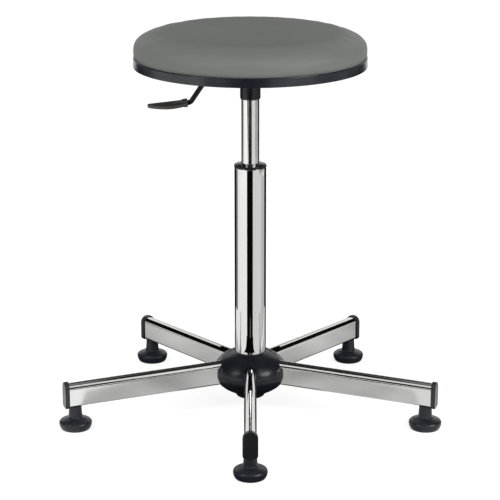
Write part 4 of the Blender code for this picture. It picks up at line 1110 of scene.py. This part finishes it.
# Release lever: a bent steel rod in black powder coat, welded to a cross tube that turns on a pin
# through the channel. Its inner end presses the gas spring's release pin.
ROD_RADIUS = 0.004
LEVER_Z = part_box("release_pin")[1].z + CLEARANCE + ROD_RADIUS
ROD_TIP = Vector((0.005, 0.0, LEVER_Z))
KNEE = Vector((-0.0605, 0.0, LEVER_Z))
DROP_ANGLE = math.radians(56.0)
PADDLE_SLOPE = math.radians(4.7)
KNEE_RADIUS = 0.009
DROP = 0.0482
FOOT = KNEE + Vector((-DROP / math.tan(DROP_ANGLE), 0.0, -DROP))
POCKET = 0.0177


def leg(angle, length):
    return Vector((-math.cos(angle), 0.0, -math.sin(angle))) * length


bend_one = KNEE_RADIUS * math.tan(DROP_ANGLE / 2.0)
bend_two = KNEE_RADIUS * math.tan((DROP_ANGLE - PADDLE_SLOPE) / 2.0)
rod_mesh = bmesh.new()
bmesh.ops.create_circle(rod_mesh, cap_ends=False, segments=32, radius=ROD_RADIUS)
moved(rod_mesh, Matrix.Rotation(math.pi / 2.0, 4, "Y"), Matrix.Translation(ROD_TIP))
inner_end = rod_mesh.edges[:]


def rod_bend(ring, centre, angle):
    points = {vert for edge in ring for vert in edge.verts}
    spun = bmesh.ops.spin(
        rod_mesh, geom=ring + list(points), cent=centre, axis=(0.0, 1.0, 0.0), angle=angle, steps=12,
        use_merge=False, use_duplicate=False,
    )["geom_last"]
    return [item for item in spun if isinstance(item, bmesh.types.BMEdge)]


ring = draw_out(rod_mesh, inner_end, KNEE - ROD_TIP + Vector((bend_one, 0.0, 0.0)))
ring = rod_bend(ring, KNEE + Vector((bend_one, 0.0, -KNEE_RADIUS)), -DROP_ANGLE)
ring = draw_out(rod_mesh, ring, FOOT - KNEE - leg(DROP_ANGLE, bend_one + bend_two))
side = Vector((-math.sin(DROP_ANGLE), 0.0, math.cos(DROP_ANGLE))) * KNEE_RADIUS
ring = rod_bend(ring, FOOT - leg(DROP_ANGLE, bend_two) + side, DROP_ANGLE - PADDLE_SLOPE)
ring = draw_out(rod_mesh, ring, leg(PADDLE_SLOPE, POCKET - bend_two))
for end in (inner_end, ring):
    filled(rod_mesh, end)
sealed(rod_mesh)
soften(rod_mesh, 0.0005)
finished("lever_bar", moved(rod_mesh, TO_AXIS), enamel, "lever", ["lever_rod"])


def sides_of(node):
    """Where a CAD piece begins and ends across the channel, from the axis."""
    low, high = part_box(node)
    return low.y - AXIS_Y, high.y - AXIS_Y


eye_near, eye_far = sides_of("lever_eye")
eye_half = (eye_far - eye_near) / 2.0
eye_radius = (eye_top - eye_bottom) / 2.0
eye = turned([
    (PIN_HOLE, -eye_half, 0.0003), (eye_radius, -eye_half, 0.0005),
    (eye_radius, eye_half, 0.0005), (PIN_HOLE, eye_half, 0.0003),
], steps=48)
finished("lever_cross_tube", moved(eye, PIVOT), zinc, "lever", ["lever_eye"])

PIN_RADIUS = 0.003
CHANNEL_HALF = 0.0203
pin_near, pin_far = sides_of("pivot_pin")
pin = turned([
    (0.0, pin_near), (0.0052, pin_near, 0.0006), (0.0052, -CHANNEL_HALF, 0.0002),
    (PIN_RADIUS, -CHANNEL_HALF), (PIN_RADIUS, pin_far, 0.0006), (0.0, pin_far),
], steps=40)
moved(pin, PIVOT @ Matrix.Rotation(math.pi, 4, "X"))
finished("lever_pin", pin, zinc, "seat", ["pivot_pin"])
clip_near, clip_far = sides_of("pivot_clip")
clip = moved(snap_ring(PIN_HOLE, 0.0052, -clip_far, -clip_near, 1.0), PIVOT)
finished("lever_pin_clip", clip, zinc, "seat", ["pivot_clip"])
dress(zinc, "release_pin")


# Paddle: a moulded nylon blade on the lever's end. A boss holds the rod and runs out into the
# dished top as a ridge; the far edge is straight and raised, the near edge bulges for the finger.
PADDLE_LENGTH = 0.067
BLADE_HALF = 0.0023
EDGE_ROUND = 0.0013
DISH_DEPTH = 0.0016
LIP_HEIGHT = 0.0010
RIDGE_HEIGHT = 0.0042
VALLEY_DEPTH = 0.0012
paddle_start = bend_two + EDGE_ROUND
blade = bmesh.new()
bmesh.ops.create_grid(blade, x_segments=44, y_segments=20, size=0.5)
for point in blade.verts:
    along, across = point.co.x + 0.5, point.co.y + 0.5
    tip_round = math.sqrt(max(1.0 - max((along - 0.955) / 0.045, 0.0) ** 2, 0.0))
    near = (0.0075 * (1.0 - along) + 0.0030 * along + 0.0085 * math.sin(math.pi * along ** 0.9)) * tip_round
    far = (0.0105 * (1.0 - along) + 0.0030 * along - 0.0015 * math.sin(math.pi * along)) * tip_round
    y = -far + (near + far) * across
    dish = math.sin(math.pi * across) * math.sin(math.pi * min(along * 1.15, 1.0)) * DISH_DEPTH
    lip = LIP_HEIGHT * math.exp(-((y + far - 0.0014) / 0.0013) ** 2) * math.sin(math.pi * along)
    ridge_width = 0.0042 * (1.0 - along) + 0.0012
    ridge = RIDGE_HEIGHT * math.exp(-(y / ridge_width) ** 2) * max(1.0 - along / 0.52, 0.0) ** 1.2
    valley = VALLEY_DEPTH * math.exp(-((y + 2.1 * ridge_width) / ridge_width) ** 2) * max(1.0 - along / 0.7, 0.0)
    top = BLADE_HALF - dish + lip + ridge - valley
    point.co = (paddle_start + (PADDLE_LENGTH - paddle_start) * along, y, top)
drawn = bmesh.ops.extrude_face_region(blade, geom=blade.faces[:])["geom"]
for point in drawn:
    if isinstance(point, bmesh.types.BMVert):
        share = (point.co.x - paddle_start) / (PADDLE_LENGTH - paddle_start)
        point.co.z = -BLADE_HALF - 0.0005 * math.sin(math.pi * share)
sealed(blade)
soften(blade, EDGE_ROUND, 1.1, 4)
paddle_plastic = moulded("paddle_plastic", (0.050, 0.047, 0.046), 1500.0, 0.44)
PADDLE_ROLL = math.radians(-12.0)
along_paddle = Matrix.Translation(FOOT) @ Matrix.Rotation(math.pi, 4, "Z")
along_paddle = along_paddle @ Matrix.Rotation(PADDLE_SLOPE, 4, "Y")
along_paddle = TO_AXIS @ along_paddle @ Matrix.Rotation(PADDLE_ROLL, 4, "X")
paddle = finished(
    "release_paddle", moved(blade, along_paddle), paddle_plastic, "lever", ["lever_paddle"],
)
boss = turned([
    (0.0, bend_two), (0.0069, bend_two, 0.0013), (0.0067, bend_two + 0.006, 0.003),
    (0.0045, 0.018, 0.01), (0.0028, 0.026, 0.0012), (0.0, 0.026),
], steps=48)
pocket = post(ROD_RADIUS + CLEARANCE, 0.0, 0.018, 40)
lying = Matrix.Rotation(math.pi / 2.0, 4, "Y")
cut_away(paddle, moved(boss, lying, along_paddle), operation="UNION")
cut_away(paddle, moved(pocket, lying, along_paddle))
